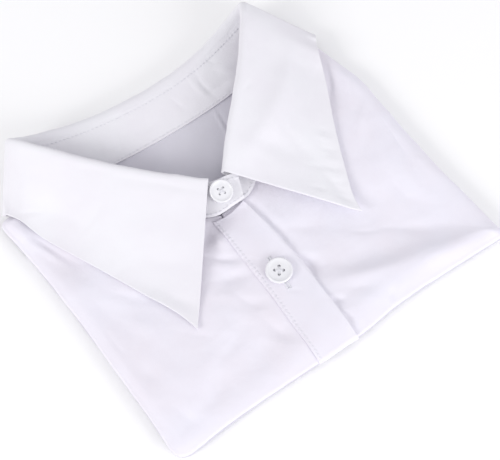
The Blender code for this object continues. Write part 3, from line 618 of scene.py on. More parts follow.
def creases(x, y, table):
    """Height of the listed creases: each runs along a slightly bent line."""
    z = np.zeros(np.shape(x))
    for _, at_x, at_y, half_length, half_width, direction, bend, height in table:
        angle = math.radians(direction)
        along = ((x - at_x) * math.cos(angle) + (y - at_y) * math.sin(angle)) / half_length
        across = (y - at_y) * math.cos(angle) - (x - at_x) * math.sin(angle)
        across = (across - bend * along ** 2) / (half_width * (1.0 + CREASE_TAPER * along))
        profile = np.exp(-along ** 2 - CREASE_SHARPNESS * across ** 2)
        z = z + np.where(np.abs(along) < CREASE_REACH, height * profile, 0.0)
    return z


def large_folds(x, y):
    """Height of the middle of the fronts' cloth, with their largest folds."""
    z = np.full(np.shape(x), FRONT_HEIGHT, float)
    for _, fold_x, fold_y, half_length, half_width, direction, height in FOLDS:
        angle = math.radians(direction)
        along = (x - fold_x) * math.cos(angle) + (y - fold_y) * math.sin(angle)
        across = (y - fold_y) * math.cos(angle) - (x - fold_x) * math.sin(angle)
        z = z + height * np.exp(-(along / half_length) ** 2 - (across / half_width) ** 2)
    return z


def under_placket(x, y):
    """1 where the placket lies, 0 away from it."""
    table = np.array(PLACKET)
    down = -np.asarray(y, float)
    left, right = (np.interp(down, -table[:, 0], table[:, c]) for c in (1, 2))
    span = 2 * PLACKET_EASE
    return ease((x - left + PLACKET_EASE) / span) * ease((right + PLACKET_EASE - x) / span)


def facet(x, y):
    """The broad facet: nothing at its low line, deepest at its high line, then less again."""
    along = x * PICTURE_RIGHT[0] + y * PICTURE_RIGHT[1]
    across = y * PICTURE_RIGHT[0] - x * PICTURE_RIGHT[1]
    low, high, depth = (np.interp(along, FACET[0], row) for row in FACET[1:])
    reach = np.maximum(high - low, 1.0)
    rise = soft_max((across - low) / reach, 0.0, FACET_SOFTNESS)
    rise = 1.0 - soft_max(1.0 - rise, 0.0, FACET_SOFTNESS)
    back = ease((across - high) / FACET_RETURN)
    return -depth * rise * (1.0 - back)


def front_height(x, y):
    """Height of the fronts' cloth with every fold and crease."""
    fine = CREASE_DEPTH * creases(x, y, FRONT_CREASES) + facet(x, y) + ripples(x, y, FRONT_RIPPLES)
    shown = PLACKET_SHARE + (1.0 - PLACKET_SHARE) * (1.0 - under_placket(x, y))
    return large_folds(x, y) + fine * shown


class Outline:
    """The folded garment's outline as a fine path with inward directions."""

    def __init__(self):
        corners = np.array([row[1:3] for row in OUTLINE])
        easing = [row[3] for row in OUTLINE]
        pieces = [corners[:1]]
        marks = [0.0]
        for i in range(1, len(corners) - 1):
            before = corners[i] + easing[i] * unit(corners[i - 1] - corners[i])
            after = corners[i] + easing[i] * unit(corners[i + 1] - corners[i])
            t = np.linspace(0.0, 1.0, EASING_POINTS)[:, None]
            curve = (1 - t) ** 2 * before + 2 * t * (1 - t) * corners[i] + t ** 2 * after
            pieces.append(curve)
        pieces.append(corners[-1:])
        rough = np.concatenate(pieces)
        along = lengths(rough)
        even = np.linspace(0.0, along[-1], int(along[-1] / OUTLINE_STEP))
        self.path = at_lengths(even, along, rough)
        self.along = lengths(self.path)
        for corner in corners[1:]:
            nearest = np.argmin(np.linalg.norm(self.path - corner, axis=1))
            marks.append(self.along[nearest])
        self.marks = dict(zip([row[0] for row in OUTLINE], marks))
        self.depth = np.interp(self.along, marks, [row[4] for row in OUTLINE])
        self.peek = np.interp(self.along, marks, [row[5] for row in OUTLINE])
        tangent = unit(np.gradient(self.path, axis=0))
        inward = np.stack([-tangent[:, 1], tangent[:, 0]], axis=1)
        half = int(CORNER_BLEND / OUTLINE_STEP)
        padded = np.pad(inward, ((half, half), (0, 0)), mode="edge")
        window = np.ones(2 * half + 1) / (2 * half + 1)
        blended = [np.convolve(padded[:, c], window, mode="valid") for c in (0, 1)]
        self.inward = unit(np.stack(blended, axis=1))
        turning = np.abs(np.gradient(np.unwrap(np.arctan2(tangent[:, 1], tangent[:, 0]))))
        self.measure = self.along + CORNER_WEIGHT * np.cumsum(turning)

    def at(self, positions):
        """Outline point, inward direction, roll depth and peek at each position."""
        columns = (self.path, self.inward, self.depth[:, None], self.peek[:, None])
        path, inward, depth, peek = (at_lengths(positions, self.along, c) for c in columns)
        return path, unit(inward), depth, peek

    def spread(self, start, end, cells):
        """Positions from start to end, closer together round the corners."""
        low, high = np.interp((start, end), self.along, self.measure)
        return np.interp(np.linspace(low, high, cells + 1), self.measure, self.along)

    def centre(self, x):
        """Position on the hem below a given x."""
        hem = (self.along > self.marks[HEM_START]) & (self.along < self.marks[HEM_END])
        return np.interp(x, self.path[hem, 0], self.along[hem])


def coons(bottom, top, left, right):
    """A grid of points filled in between four boundary paths."""
    u = np.linspace(0.0, 1.0, len(bottom))[:, None, None]
    v = np.linspace(0.0, 1.0, len(left))[None, :, None]
    ruled = (1 - v) * bottom[:, None] + v * top[:, None] + (1 - u) * left[None] + u * right[None]
    corners = (1 - u) * (1 - v) * bottom[0] + u * (1 - v) * bottom[-1]
    corners = corners + (1 - u) * v * top[0] + u * v * top[-1]
    return ruled - corners


def even_path(points, cells):
    """A path cut into equal lengths."""
    along = lengths(points)
    return at_lengths(np.linspace(0.0, along[-1], cells + 1), along, points)


def collar_sections(count):
    """The collar's table as a smooth row of sections, closer together in its creases."""
    rows = np.array([row[1:] for row in COLLAR])
    fold, edge, seam = rows[:, 0:3], rows[:, 5:8], rows[:, 9:12]
    knots = (lengths(fold) + lengths(edge) + lengths(seam)) / 3
    fine = np.linspace(0.0, knots[-1], FINE_SECTIONS)
    values = smooth(rows, knots, fine, LEVEL_COLUMNS)
    moved = (lengths(values[:, 0:3]) + lengths(values[:, 5:8])) / 2
    measure = moved + TURN_WEIGHT * np.abs(values[:, 4] - values[0, 4])
    at = np.interp(np.linspace(0.0, measure[-1], count), measure, fine)
    return smooth(rows, knots, at, LEVEL_COLUMNS)


def collar_frame(row):
    """Fold point, direction to the outer edge, direction from band to fall, roll."""
    fold = row[0:3]
    along = unit(row[5:8] - fold)
    up = unit(np.array((0.0, 0.0, 1.0)) - along[2] * along)
    side = np.cross(along, up)
    turn = math.radians(row[4])
    out = side * math.cos(turn) + up * math.sin(turn)
    return fold, along, out, row[3]


def leaf_section(row):
    """One section of the fall, from the band seam over the fold to the outer edge."""
    fold, along, out, roll = collar_frame(row)
    edge = row[5:8]
    seam_width = row[8]
    centre = fold + along * roll
    points = [centre - out * roll + along * (seam_width - roll)]
    for angle in np.radians(np.linspace(-90.0, 90.0, ROLL_CELLS + 1)):
        points.append(centre - along * roll * math.cos(angle) + out * roll * math.sin(angle))
    start = points[-1]
    length = np.linalg.norm(edge - start)
    near_edge = edge + (start - edge) * LIE_FLAT
    flat = math.sin(math.radians(row[4])) ** 2
    near_edge[2] = edge[2] + (near_edge[2] - edge[2]) * (1 - LEVEL_SHARE * flat)
    handle = start + along * length * FALL_REACH
    for t in np.linspace(0.0, 1.0, FALL_CELLS + 1)[1:]:
        points.append((1 - t) ** 3 * start + 3 * (1 - t) ** 2 * t * handle
                      + 3 * (1 - t) * t ** 2 * near_edge + t ** 3 * edge)
    points = np.array(points)
    if out[2] > 0.5:
        rest = (CAD_PANEL + CAD_COLLAR) / 2 + REST_GAP
        lowest = large_folds(points[:, 0], points[:, 1]) + rest
        fall = slice(ROLL_CELLS + 2, None)
        points[fall, 2] = soft_max(points[fall, 2], lowest[fall])
    points[:, 2] = np.maximum(points[:, 2], CAD_COLLAR / 2)
    return points


def relax(rows, shares):
    """Sections eased towards their neighbours, so that the side creases stay round."""
    rows = np.array(rows)
    weight = 0.5 * np.asarray(shares)[None, :, None]
    for _ in range(RELAX_ROUNDS):
        rows[1:-1] += weight * (0.5 * (rows[:-2] + rows[2:]) - rows[1:-1])
    return rows


def band_edges(row, lap=0.0):
    """Upper and lower edge of the band at one section, lapped over the fall's strip."""
    fold, along, out, roll = collar_frame(row)
    upper = fold - out * roll + along * (row[8] + SEAM_STEP - lap)
    return upper, row[9:12]


def neck_seam(side):
    """The fronts' neckline on one side, from the centre front to the shoulder."""
    rows = np.array([row[1:] for row in COLLAR])
    picked = rows[:6] if side == "left" else rows[:-7:-1]
    points = []
    for row in picked:
        upper, lower = band_edges(row)
        inward = unit(upper[:2] - lower[:2])
        points.append(lower[:2] + inward * NECK_OVERLAP)
    return np.array(points)


def grid_normals(rows):
    """Unit normals of a grid of points."""
    return unit(np.cross(np.gradient(rows, axis=0), np.gradient(rows, axis=1)))


def knots_of(rows, axis):
    """Mean distance along a grid, one way."""
    steps = np.linalg.norm(np.diff(rows, axis=axis), axis=2).mean(axis=1 - axis)
    return np.concatenate(([0.0], np.cumsum(steps)))


def finer(rows, at_sections, at_columns):
    """The same surface with more points, given as fractions of its sections and columns."""
    rows = np.asarray(rows, float)
    n, m, _ = rows.shape
    knots = knots_of(rows, 0)
    at = np.interp(at_sections, np.arange(n), knots)
    rows = smooth(rows.reshape(n, -1), knots, at).reshape(len(at), m, 3)
    knots = knots_of(rows, 1)
    at = np.interp(at_columns, np.arange(m), knots)
    turned = np.swapaxes(rows, 0, 1).reshape(m, -1)
    turned = smooth(turned, knots, at).reshape(len(at), rows.shape[0], 3)
    return np.swapaxes(turned, 0, 1)


def line_at(rows, distance, from_last=False):
    """A line across a grid's rows at a distance from their first or last points."""
    if from_last:
        rows = rows[:, ::-1]
    return np.array([at_lengths(distance, lengths(row), row) for row in rows])


def stitched(run, distance):
    """How far a row of stitches draws the cloth in, along it and at a distance from it."""
    pull = 0.6 + 0.4 * np.cos(2 * math.pi * run / STITCH_PITCH)
    return -STITCH_SINK * pull * np.exp(-(distance / STITCH_TROUGH) ** 2)


def seam_trough(rows, distance, from_last=False):
    """How far a row of stitches draws the cloth in, over a grid."""
    steps = np.linalg.norm(np.diff(rows, axis=1), axis=2)
    along = np.concatenate((np.zeros((len(rows), 1)), np.cumsum(steps, axis=1)), axis=1)
    if from_last:
        along = along[:, -1:] - along
    run = lengths(line_at(rows, distance, from_last))[:, None]
    return stitched(run, along - distance)


def to_frame(points):
    """Points of the tables, in millimetres, as metres in the frame."""
    low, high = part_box("button_second")
    middle = (low + high) / 2
    shift = np.array((middle.x - SECOND_BUTTON[0] * MM, middle.y - SECOND_BUTTON[1] * MM, 0.0))
    return np.asarray(points, float) * MM + shift


def mesh_from(name, points, faces, flat=None):
    """A mesh in metres from points in millimetres, with the cut's own map for its weave."""
    mesh = bpy.data.meshes.new(name)
    mesh.from_pydata(to_frame(points).tolist(), [], faces)
    if flat is not None:
        layer = mesh.uv_layers.new(name="Cut")
        corners = np.zeros(len(mesh.loops), np.int32)
        mesh.loops.foreach_get("vertex_index", corners)
        layer.data.foreach_set("uv", (np.asarray(flat, float) * MM)[corners].ravel())
    mesh.update()
    return mesh


def grid_faces(rows, columns, first=0, flip=False):
    """Quads of a grid of points stored row by row."""
    faces = []
    for i in range(rows - 1):
        for j in range(columns - 1):
            a = first + i * columns + j
            quad = (a, a + 1, a + columns + 1, a + columns)
            faces.append(quad[::-1] if flip else quad)
    return faces


def add_object(name, data):
    """A new object in the scene."""
    thing = bpy.data.objects.new(name, data)
    bpy.context.scene.collection.objects.link(thing)
    return thing


def new_piece(name, mesh, material, nodes=()):
    """A smooth object with its material and slot, which stands for the given CAD nodes."""
    thing = add_object(name, mesh)
    mesh.materials.append(material)
    mesh.shade_smooth()
    if nodes:
        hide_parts(*nodes)
    return thing


def thicken(thing, thickness, rounding=0.0):
    """A cloth of the given thickness, with soft edges."""
    wall = thing.modifiers.new("Cloth", "SOLIDIFY")
    wall.thickness = thickness * MM
    wall.offset = 0.0
    if rounding:
        soft = thing.modifiers.new("Soft edge", "BEVEL")
        soft.width = rounding * MM
        soft.segments = 2
        soft.limit_method = "ANGLE"
        soft.angle_limit = math.radians(60.0)
    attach(thing, "root")
    return thing


def cloth_grid(name, rows, thickness, material, node, rounding=0.0):
    """A cloth from a grid of points, one list for each section."""
    rows = np.asarray(rows)
    across = np.broadcast_to(knots_of(rows, 0)[:, None], rows.shape[:2])
    along = np.broadcast_to(knots_of(rows, 1)[None, :], rows.shape[:2])
    flat = np.stack([across.ravel(), along.ravel()], axis=1)
    mesh = mesh_from(name, rows.reshape(-1, 3), grid_faces(len(rows), len(rows[0])), flat)
    thing = new_piece(name, mesh, material, (node,))
    return thicken(thing, thickness, rounding)


def stitch_shape(centre, along, side, up, length, width):
    """Points and faces of one stitch, a low arched capsule."""
    sides = STITCH_SIDES
    points = []
    for share, size, lift in STITCH_RINGS:
        middle = centre + along * share * length + up * lift * width
        for turn in range(sides):
            angle = turn * 2 * math.pi / sides
            spoke = side * math.cos(angle) + up * math.sin(angle)
            points.append(middle + spoke * size * width / 2)
    faces = []
    for first in range(0, len(points) - sides, sides):
        for j in range(sides):
            n = (j + 1) % sides
            faces.append((first + j, first + n, first + sides + n, first + sides + j))
    faces.append(tuple(range(sides - 1, -1, -1)))
    faces.append(tuple(range(len(points) - sides, len(points))))
    return points, faces


def joined(runs):
    """Points and faces of several runs as one."""
    points, faces = [], []
    for run_points, run_faces in runs:
        faces += [tuple(len(points) + v for v in face) for face in run_faces]
        points += run_points
    return points, faces


def stitch_run(path, normals, pitch, length, width, turn=0.0, uneven=0.0):
    """Stitches along a path, as points and faces; a turn of 90 lays them across it."""
    along = lengths(path)
    shapes = []
    for i in range(int(along[-1] / pitch)):
        jitter = uneven * math.sin(5.1 * i + 1.7 * math.sin(2.3 * i))
        at = (i + 0.5 + STITCH_DRIFT * jitter) * pitch
        before, centre, after = at_lengths((at - 0.4, at, at + 0.4), along, path)
        up = unit(at_lengths(at, along, normals))
        ahead = unit(after - before)
        side = unit(np.cross(up, ahead))
        angle = math.radians(turn + STITCH_SKEW * jitter)
        run = ahead * math.cos(angle) + side * math.sin(angle)
        grown = length * (1 + STITCH_GROWTH * jitter)
        shapes.append(stitch_shape(centre, run, np.cross(up, run), up, grown, width))
    return joined(shapes)


def thread_piece(name, runs, material):
    """One object from several runs of stitches."""
    thing = new_piece(name, mesh_from(name, *joined(runs)), material)
    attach(thing, "root")


def edge_profile(depth, last_angle, turned_under):
    """Middle line of the rolled edge: distance from the outline, height, and how far
    it follows the flat cloth, from there round to the turned-under end."""
    rows = []
    for t in np.linspace(1.0, 0.0, SOFT_RINGS + 1)[1:]:
        rows.append((EDGE_ROLL + (depth - EDGE_ROLL) * t, EDGE_HEIGHT, 1 - (1 - t) ** 2))
    for angle in np.linspace(90.0, last_angle, ROLL_RINGS + 1)[1:]:
        across = EDGE_ROLL * (1 - math.cos(math.radians(angle)))
        height = EDGE_HEIGHT - EDGE_ROLL * (1 - math.sin(math.radians(angle)))
        rows.append((across, height, 0.0))
    if turned_under:
        rows.append((EDGE_ROLL + TURN_UNDER, EDGE_HEIGHT - 2 * EDGE_ROLL, 0.0))
    return np.array(rows)


def edge_ring(edge, inward, across, height, share):
    """One line of points along the rolled edge, blended into the flat cloth."""
    points = edge + inward * across[:, None]
    flat = front_height(points[:, 0], points[:, 1])
    return np.column_stack((points, height + (flat - height) * share))


def build_front(name, node, outline, side, material):
    """One front, on the picture's left or right: flat inside a rolled edge, cut away at the neck."""
    left = side == "left"
    split = outline.centre(FRONT_SPLIT - (GAP if left else -GAP))
    corner = outline.marks[HEM_START if left else HEM_END]
    neck = outline.marks[side + " neck point"]
    hem_at = outline.spread(split, corner, HEM_CELLS)
    side_at = outline.spread(corner, neck, SIDE_CELLS)
    rim_at = np.concatenate((hem_at, side_at[1:]))
    edge, inward, depth, _ = outline.at(rim_at)
    seed = LEFT_SEED if left else RIGHT_SEED
    wobble = ripples(rim_at, 0.0, [(*row, seed) for row in EDGE_SWAY])
    edge = edge + inward * wobble[:, None]
    inner = edge + inward * depth
    hem = inner[:HEM_CELLS + 1]
    flank = inner[HEM_CELLS:]
    seam = neck_seam(side)
    seam[0] = (hem[0][0], NECK_CENTRE)
    seam[-1] = flank[-1]
    neckline = even_path(seam, HEM_CELLS)
    centre = hem[0] + (seam[0] - hem[0]) * np.linspace(0.0, 1.0, SIDE_CELLS + 1)[:, None]
    flat = coons(hem, neckline, centre, flank).reshape(-1, 2)
    points = [np.column_stack((flat, front_height(flat[:, 0], flat[:, 1])))]
    columns = SIDE_CELLS + 1
    faces = grid_faces(HEM_CELLS + 1, columns, flip=not left)
    boundary = [i * columns for i in range(HEM_CELLS + 1)]
    boundary += [HEM_CELLS * columns + j for j in range(1, columns)]
    profile = np.array([edge_profile(d, -90.0, True) for d in depth[:, 0]])
    uneven = ripples(rim_at, 4.0, [(*row, seed) for row in EDGE_LIFT])
    first = len(flat)
    for ring in range(profile.shape[1]):
        across, height, share = profile[:, ring].T
        points.append(edge_ring(edge, inward, across, height + uneven * (1 - share), share))
        following = list(range(first, first + len(rim_at)))
        for k in range(len(rim_at) - 1):
            quad = (boundary[k], boundary[k + 1], following[k + 1], following[k])
            faces.append(quad if left else quad[::-1])
        boundary = following
        first += len(rim_at)
    points = np.concatenate(points)
    mesh = mesh_from(name, points, faces, points[:, :2])
    return thicken(new_piece(name, mesh, material, (node,)), FRONT_CLOTH)


def layer_height(x, y, front):
    """Top of the hidden layers: up under the fronts, down to the neck's floor."""
    seam = np.concatenate((neck_seam("left")[::-1], neck_seam("right")))
    path = even_path(seam, NECK_POINTS)
    points = np.column_stack((x, y))
    near = np.min(np.linalg.norm(points[:, None] - path[None], axis=2), axis=1)
    inside = y > np.interp(x, seam[:, 0], seam[:, 1])
    share = np.where(inside, 0.0, ease((near - NECK_LEDGE) / NECK_RAMP))
    below = front - LAYERS_CLEAR
    return FLOOR_TOP + np.maximum(below - FLOOR_TOP, 0.0) * share


def layer_underside(y):
    """Underside of the hidden layers, raised over the collar's back."""
    return LEAF_RECESS * ease((y - RECESS_START) / RECESS_RAMP)


def flap_relief(x, y):
    """Steps between the flaps folded under, as they show from below."""
    left = x - LEFT_END - SIDE_FLAP
    right = RIGHT_END - SIDE_FLAP - x
    bottom = y - BOTTOM_END - BOTTOM_FLAP
    open_back = ease(left) * ease(right) * ease(bottom)
    side_edge = np.exp(-(left / FLAP_EDGE) ** 2) + np.exp(-(right / FLAP_EDGE) ** 2)
    hidden_edge = FLAP_RIDGE * side_edge * ease(-bottom / 3.0)
    drawn = ripples(x, y, FLAP_RIPPLES) * ease((FLAP_FADE[0] - np.abs(x)) / FLAP_FADE[1])
    return FLAP_STEP * open_back + hidden_edge + np.maximum(drawn, 0.0)


def closed_band(upper, lower):
    """Quads between two closed loops of points."""
    pairs = list(zip(upper, lower))
    return [(a, b, d, c) for (a, b), (c, d) in zip(pairs, pairs[1:] + pairs[:1])]


def build_layers(outline, material):
    """The folded cloth below the fronts: rounded, layered at its edges, flat below."""
    ends = (
        (HEM_START, HEM_END, LAYER_HEM_CELLS),
        (HEM_END, "right neck point", LAYER_SIDE_CELLS),
        (HEM_START, "left neck point", LAYER_SIDE_CELLS),
    )
    parts = []
    for start, end, cells in ends:
        at = outline.spread(outline.marks[start], outline.marks[end], cells)
        edge, inward, depth, peek = outline.at(at)
        sway = ripples(at, 9.0, LAYER_RIPPLES)
        parts.append((edge, inward, depth[:, 0], peek[:, 0] + np.where(peek[:, 0] > 0.05, sway, 0.0)))
    back = even_path(np.array(BACK_EDGE), LAYER_HEM_CELLS)
    back_in = unit(np.stack([np.gradient(back[:, 1]), -np.gradient(back[:, 0])], axis=1))
    back_in[0] = parts[2][1][-1]
    back_in[-1] = parts[1][1][-1]
    nothing = np.zeros(LAYER_HEM_CELLS + 1)
    parts.append((back, back_in, nothing + BACK_EDGE_DEPTH, nothing))
    inner = [edge + inward * depth[:, None] for edge, inward, depth, _ in parts]
    flat = coons(inner[0], inner[3], inner[2], inner[1])
    rows, columns = flat.shape[:2]
    flat = flat.reshape(-1, 2)
    x, y = flat.T
    points = [np.column_stack((flat, layer_height(x, y, large_folds(x, y))))]
    faces = grid_faces(rows, columns, flip=True)
    loop = [(0, i, i * columns) for i in range(rows)]
    loop += [(1, j, (rows - 1) * columns + j) for j in range(1, columns)]
    loop += [(3, i, i * columns + columns - 1) for i in range(rows - 2, -1, -1)]
    loop += [(2, j, j) for j in range(columns - 2, 0, -1)]
    edge, inward, depth, peek = (np.array([parts[part][c][i] for part, i, _ in loop]) for c in range(4))
    boundary = [vertex for _, _, vertex in loop]
    first = len(flat)
    for across, height in LAYER_EDGE:
        shown = peek if across < PEEK_REACH else 0.0 * peek
        ring = edge + inward * (across - shown)[:, None]
        if height is None:
            t = (across - EDGE_ROLL) / (depth - EDGE_ROLL)
            front = EDGE_HEIGHT + (large_folds(*ring.T) - EDGE_HEIGHT) * (1 - (1 - t) ** 2)
            z = layer_height(ring[:, 0], ring[:, 1], front)
        else:
            base = layer_underside(ring[:, 1])
            z = base + height * (LAYERS_TOP - base) / LAYERS_TOP
        points.append(np.column_stack((ring, z)))
        following = list(range(first, first + len(loop)))
        faces += closed_band(boundary, following)
        boundary = following
        first += len(loop)
    points.append(np.column_stack((flat, layer_underside(y) + flap_relief(x, y))))
    faces += grid_faces(rows, columns, first=first)
    faces += closed_band(boundary, [first + vertex for _, _, vertex in loop])
    points = np.concatenate(points)
    mesh = mesh_from("folded_under", points, faces, points[:, :2])
    thing = new_piece("folded_under", mesh, material, ("folded_layers",))
    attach(thing, "root")
    return thing


def placket_rows(outline):
    """The placket, lying on the fronts and round the bottom edge."""
    table = np.array(PLACKET)
    edge, _, depth, _ = outline.at([outline.centre(0.0)])
    edge_y, depth = float(edge[0, 1]), float(depth[0, 0])
    flat_y = np.linspace(PLACKET_TOP, edge_y + depth, PLACKET_ROWS)
    profile = edge_profile(depth, -30.0, False)
    y = np.concatenate((flat_y, edge_y + profile[:, 0]))
    height = np.concatenate((np.zeros(PLACKET_ROWS), profile[:, 1]))
    follow = np.concatenate((np.ones(PLACKET_ROWS), profile[:, 2]))
    rows = []
    for share in np.linspace(1.0, 0.0, PLACKET_CELLS + 1):
        x = np.interp(-y, -table[:, 0], table[:, 1] * (1 - share) + table[:, 2] * share)
        dip = PLACKET_DIP * math.sin(DIP_SPAN * math.pi * (1 - share))
        shown_y = y - dip * (1.0 - ease((PLACKET_TOP - y) / DIP_REACH))
        flat = front_height(x, shown_y)
        rows.append(np.column_stack((x, shown_y, height + (flat - height) * follow)))
    rows = np.array(rows)
    normal = grid_normals(rows)
    rows = rows + normal * ((FRONT_CLOTH + PLACKET_CLOTH) / 2 + PLACKET_GAP)
    detail = creases(rows[:, :, 0], rows[:, :, 1], PLACKET_CREASES)
    detail = detail + ripples(rows[:, :, 0], rows[:, :, 1], PLACKET_RIPPLES)
    from_right = knots_of(rows, 0)[:, None]
    from_left = from_right[-1] - from_right
    lift = FREE_LIFT * np.exp(-(from_right / FREE_REACH) ** 2)
    trough = stitched(knots_of(rows, 1)[None, :], from_left - PLACKET_STITCH)
    trough = trough - SEWN_SINK * np.exp(-from_left ** 2)
    return rows + normal * (np.maximum(detail, LOWEST_DETAIL) + lift + trough)[:, :, None]


def stitch_row(path, outward, thickness):
    """A row of stitches on the cloth's surface, along a line in its middle."""
    lifted = path + outward * (thickness / 2 + STITCH_LIFT)
    return stitch_run(lifted, outward, STITCH_PITCH, STITCH_LENGTH, STITCH_WIDTH, uneven=ROW_UNEVEN)


def build_placket(outline, material, thread):
    """The placket with its row of stitches."""
    rows = placket_rows(outline)
    normal = grid_normals(rows)
    thing = cloth_grid("placket_cloth", rows, PLACKET_CLOTH, material, "placket",
                       PLACKET_ROUNDING)
    across = knots_of(rows, 0)
    row = int(np.argmin(np.abs(across[-1] - PLACKET_STITCH - across)))
    thread_piece("placket_stitches", [stitch_row(rows[row], normal[row], PLACKET_CLOTH)], thread)
    return thing, rows, normal


def surface_at(rows, normal, x, y):
    """Nearest point of a grid to a place, and the normal there."""
    distance = (rows[:, :, 0] - x) ** 2 + (rows[:, :, 1] - y) ** 2
    i, j = np.unravel_index(np.argmin(distance), distance.shape)
    return rows[i, j], normal[i, j]


def buttonhole(name, rows, normal, start, end, thickness, thread):
    """A worked buttonhole: two rows of close stitches and a bar at each end."""
    line, ups = [], []
    for t in np.linspace(0.0, 1.0, HOLE_POINTS):
        x = start[0] + (end[0] - start[0]) * t
        y = start[1] + (end[1] - start[1]) * t
        point, up = surface_at(rows, normal, x, y)
        drop = (x - point[0]) * up[0] + (y - point[1]) * up[1]
        line.append((x, y, point[2] - drop / up[2]))
        ups.append(up)
    ups = np.array(ups)
    line = np.array(line) + ups * (thickness / 2 + STITCH_LIFT)
    ahead = unit(line[-1] - line[0])
    side = unit(np.cross(ups.mean(axis=0), ahead))
    runs = []
    for sign in (-1.0, 1.0):
        row = line + side * sign * HOLE_ROW
        runs.append(stitch_run(row, ups, *HOLE_STITCH, turn=90.0, uneven=HOLE_UNEVEN))
    for at, away in ((line[0], -1.0), (line[-1], 1.0)):
        bar = np.array([at + side * s + ahead * away * BAR_OUT for s in (-HOLE_BAR, 0.0, HOLE_BAR)])
        same = np.repeat(ups[:1], len(bar), axis=0)
        runs.append(stitch_run(bar, same, *BAR_STITCH, turn=90.0, uneven=BAR_UNEVEN))
    thread_piece(name, runs, thread)


def build_back(material):
    """The back, as far as it shows inside the neck, with its small tuck."""
    table = np.array(BACK_PANEL)
    y = np.linspace(table[0, 0], table[-1, 0], BACK_ROWS)
    left, right = (np.interp(y, table[:, 0], table[:, c]) for c in (1, 2))
    rows = []
    for share in np.linspace(0.0, 1.0, BACK_COLUMNS):
        x = left + (right - left) * share
        z = BACK_HEIGHT + BACK_DOME * math.sin(math.pi * share) ** 2
        z = z + BACK_RISE * ease((y - RISE_START) / RISE_REACH)
        z = z + creases(x, y, BACK_CREASES) + ripples(x, y, BACK_RIPPLES)
        rows.append(np.column_stack((x, y, z)))
    return cloth_grid("back_cloth", rows, BACK_CLOTH, material, "back")


def leaf_rows():
    """The fall with its creases: over the fronts at both sides, tucked under the back."""
    shares = np.concatenate((np.ones(ROLL_CELLS + 2), np.linspace(1.0, 0.0, FALL_CELLS + 1)[1:]))
    rough = relax([leaf_section(row) for row in collar_sections(COLLAR_SECTIONS)], shares)
    at_sections = np.linspace(0.0, COLLAR_SECTIONS - 1, LEAF_SECTIONS)
    first = ROLL_CELLS + 1
    at_columns = np.concatenate((
        np.linspace(0.0, 1.0, LEAF_STRIP_CELLS + 1)[:-1],
        np.linspace(1.0, first, LEAF_ROLL_CELLS + 1)[:-1],
        np.linspace(first, first + FALL_CELLS, LEAF_FALL_CELLS + 1),
    ))
    rows = finer(rough, at_sections, at_columns)
    fall = np.clip((at_columns - first) / FALL_CELLS, 0.0, 1.0)[None, :]
    normal = grid_normals(rows)
    if normal[10, -20, 2] < 0:
        normal = -normal
    x, y, z = np.moveaxis(rows, 2, 0)
    top = ease((z - UPPER_SIDE) / SIDE_EASE)
    back = ease((HIDDEN_SIDE - z) / SIDE_EASE)
    detail = creases(x, y, LEAF_CREASES) * top + creases(x, y, LEAF_BACK_CREASES) * back
    detail = detail + ripples(x, y + z, LEAF_RIPPLES)
    detail = detail * ease(fall / CREASE_START)
    along = knots_of(rows, 0)[:, None]
    near_fold = np.exp(-((at_columns[None, :] - ROLL_COLUMN) / ROLL_REACH) ** 2)
    detail = detail + ripples(along, 0.0, FOLD_RIPPLES) * near_fold
    from_edge = knots_of(rows, 1)[-1] - knots_of(rows, 1)[None, :]
    from_front = np.minimum(along, along[-1] - along)
    for distance in (from_edge, from_front):
        bead = BEAD[0] * np.exp(-(distance / BEAD[1]) ** 2)
        hollow = HOLLOW[0] * np.exp(-((distance - HOLLOW[1]) / HOLLOW[2]) ** 2)
        detail = detail + bead - hollow
    rows = rows + normal * detail[:, :, None]
    rows[:, :, 2] -= SETTLE[0] * ease((fall - SETTLE[1]) / SETTLE[2]) * top
    rest = (FRONT_CLOTH + LEAF_CLOTH) / 2 + LEAF_GAP
    lowest = front_height(rows[:, :, 0], rows[:, :, 1]) + rest
    lifted = soft_max(rows[:, :, 2], lowest, LEAF_SOFTNESS)
    rows[:, :, 2] += (lifted - rows[:, :, 2]) * top * (fall > REST_START)
    rows[:, :, 2] = np.maximum(rows[:, :, 2], LEAF_CLOTH / 2 + FLOOR_GAP)
    return rows


def end_edges(table):
    """Upper and lower edge points of one end of the band."""
    return [(np.array(row[1:4]), np.array(row[4:7])) for row in table]


def stand_rows():
    """The stand as one strip round the neck whose ends overlap, and its normals."""
    round_neck = [band_edges(row, SEAM_LAP) for row in collar_sections(COLLAR_SECTIONS)]
    edges = end_edges(BUTTONHOLE_END) + list(relax(round_neck, (1.0, 1.0))) + end_edges(BUTTON_END)
    rough = [[upper + (lower - upper) * t for t in np.linspace(0.0, 1.0, 5)] for upper, lower in edges]
    at_sections = np.linspace(0.0, len(rough) - 1, STAND_SECTIONS)
    rows = finer(rough, at_sections, np.linspace(0.0, 4.0, STAND_CELLS + 1))
    normal = grid_normals(rows)
    if normal[STAND_SECTIONS // 2, STAND_CELLS // 2, 2] < 0:
        normal = -normal
    x, y, z = np.moveaxis(rows, 2, 0)
    back = ease((y - 46.0) / 6.0) * ease((16.0 - z) / 3.0)
    detail = creases(x, y, STAND_CREASES) * back
    detail = detail + ripples(x, y + z, STAND_RIPPLES)
    detail = detail + seam_trough(rows, BAND_STITCH) + seam_trough(rows, EDGE_STITCH, from_last=True)
    return rows + normal * detail[:, :, None], normal


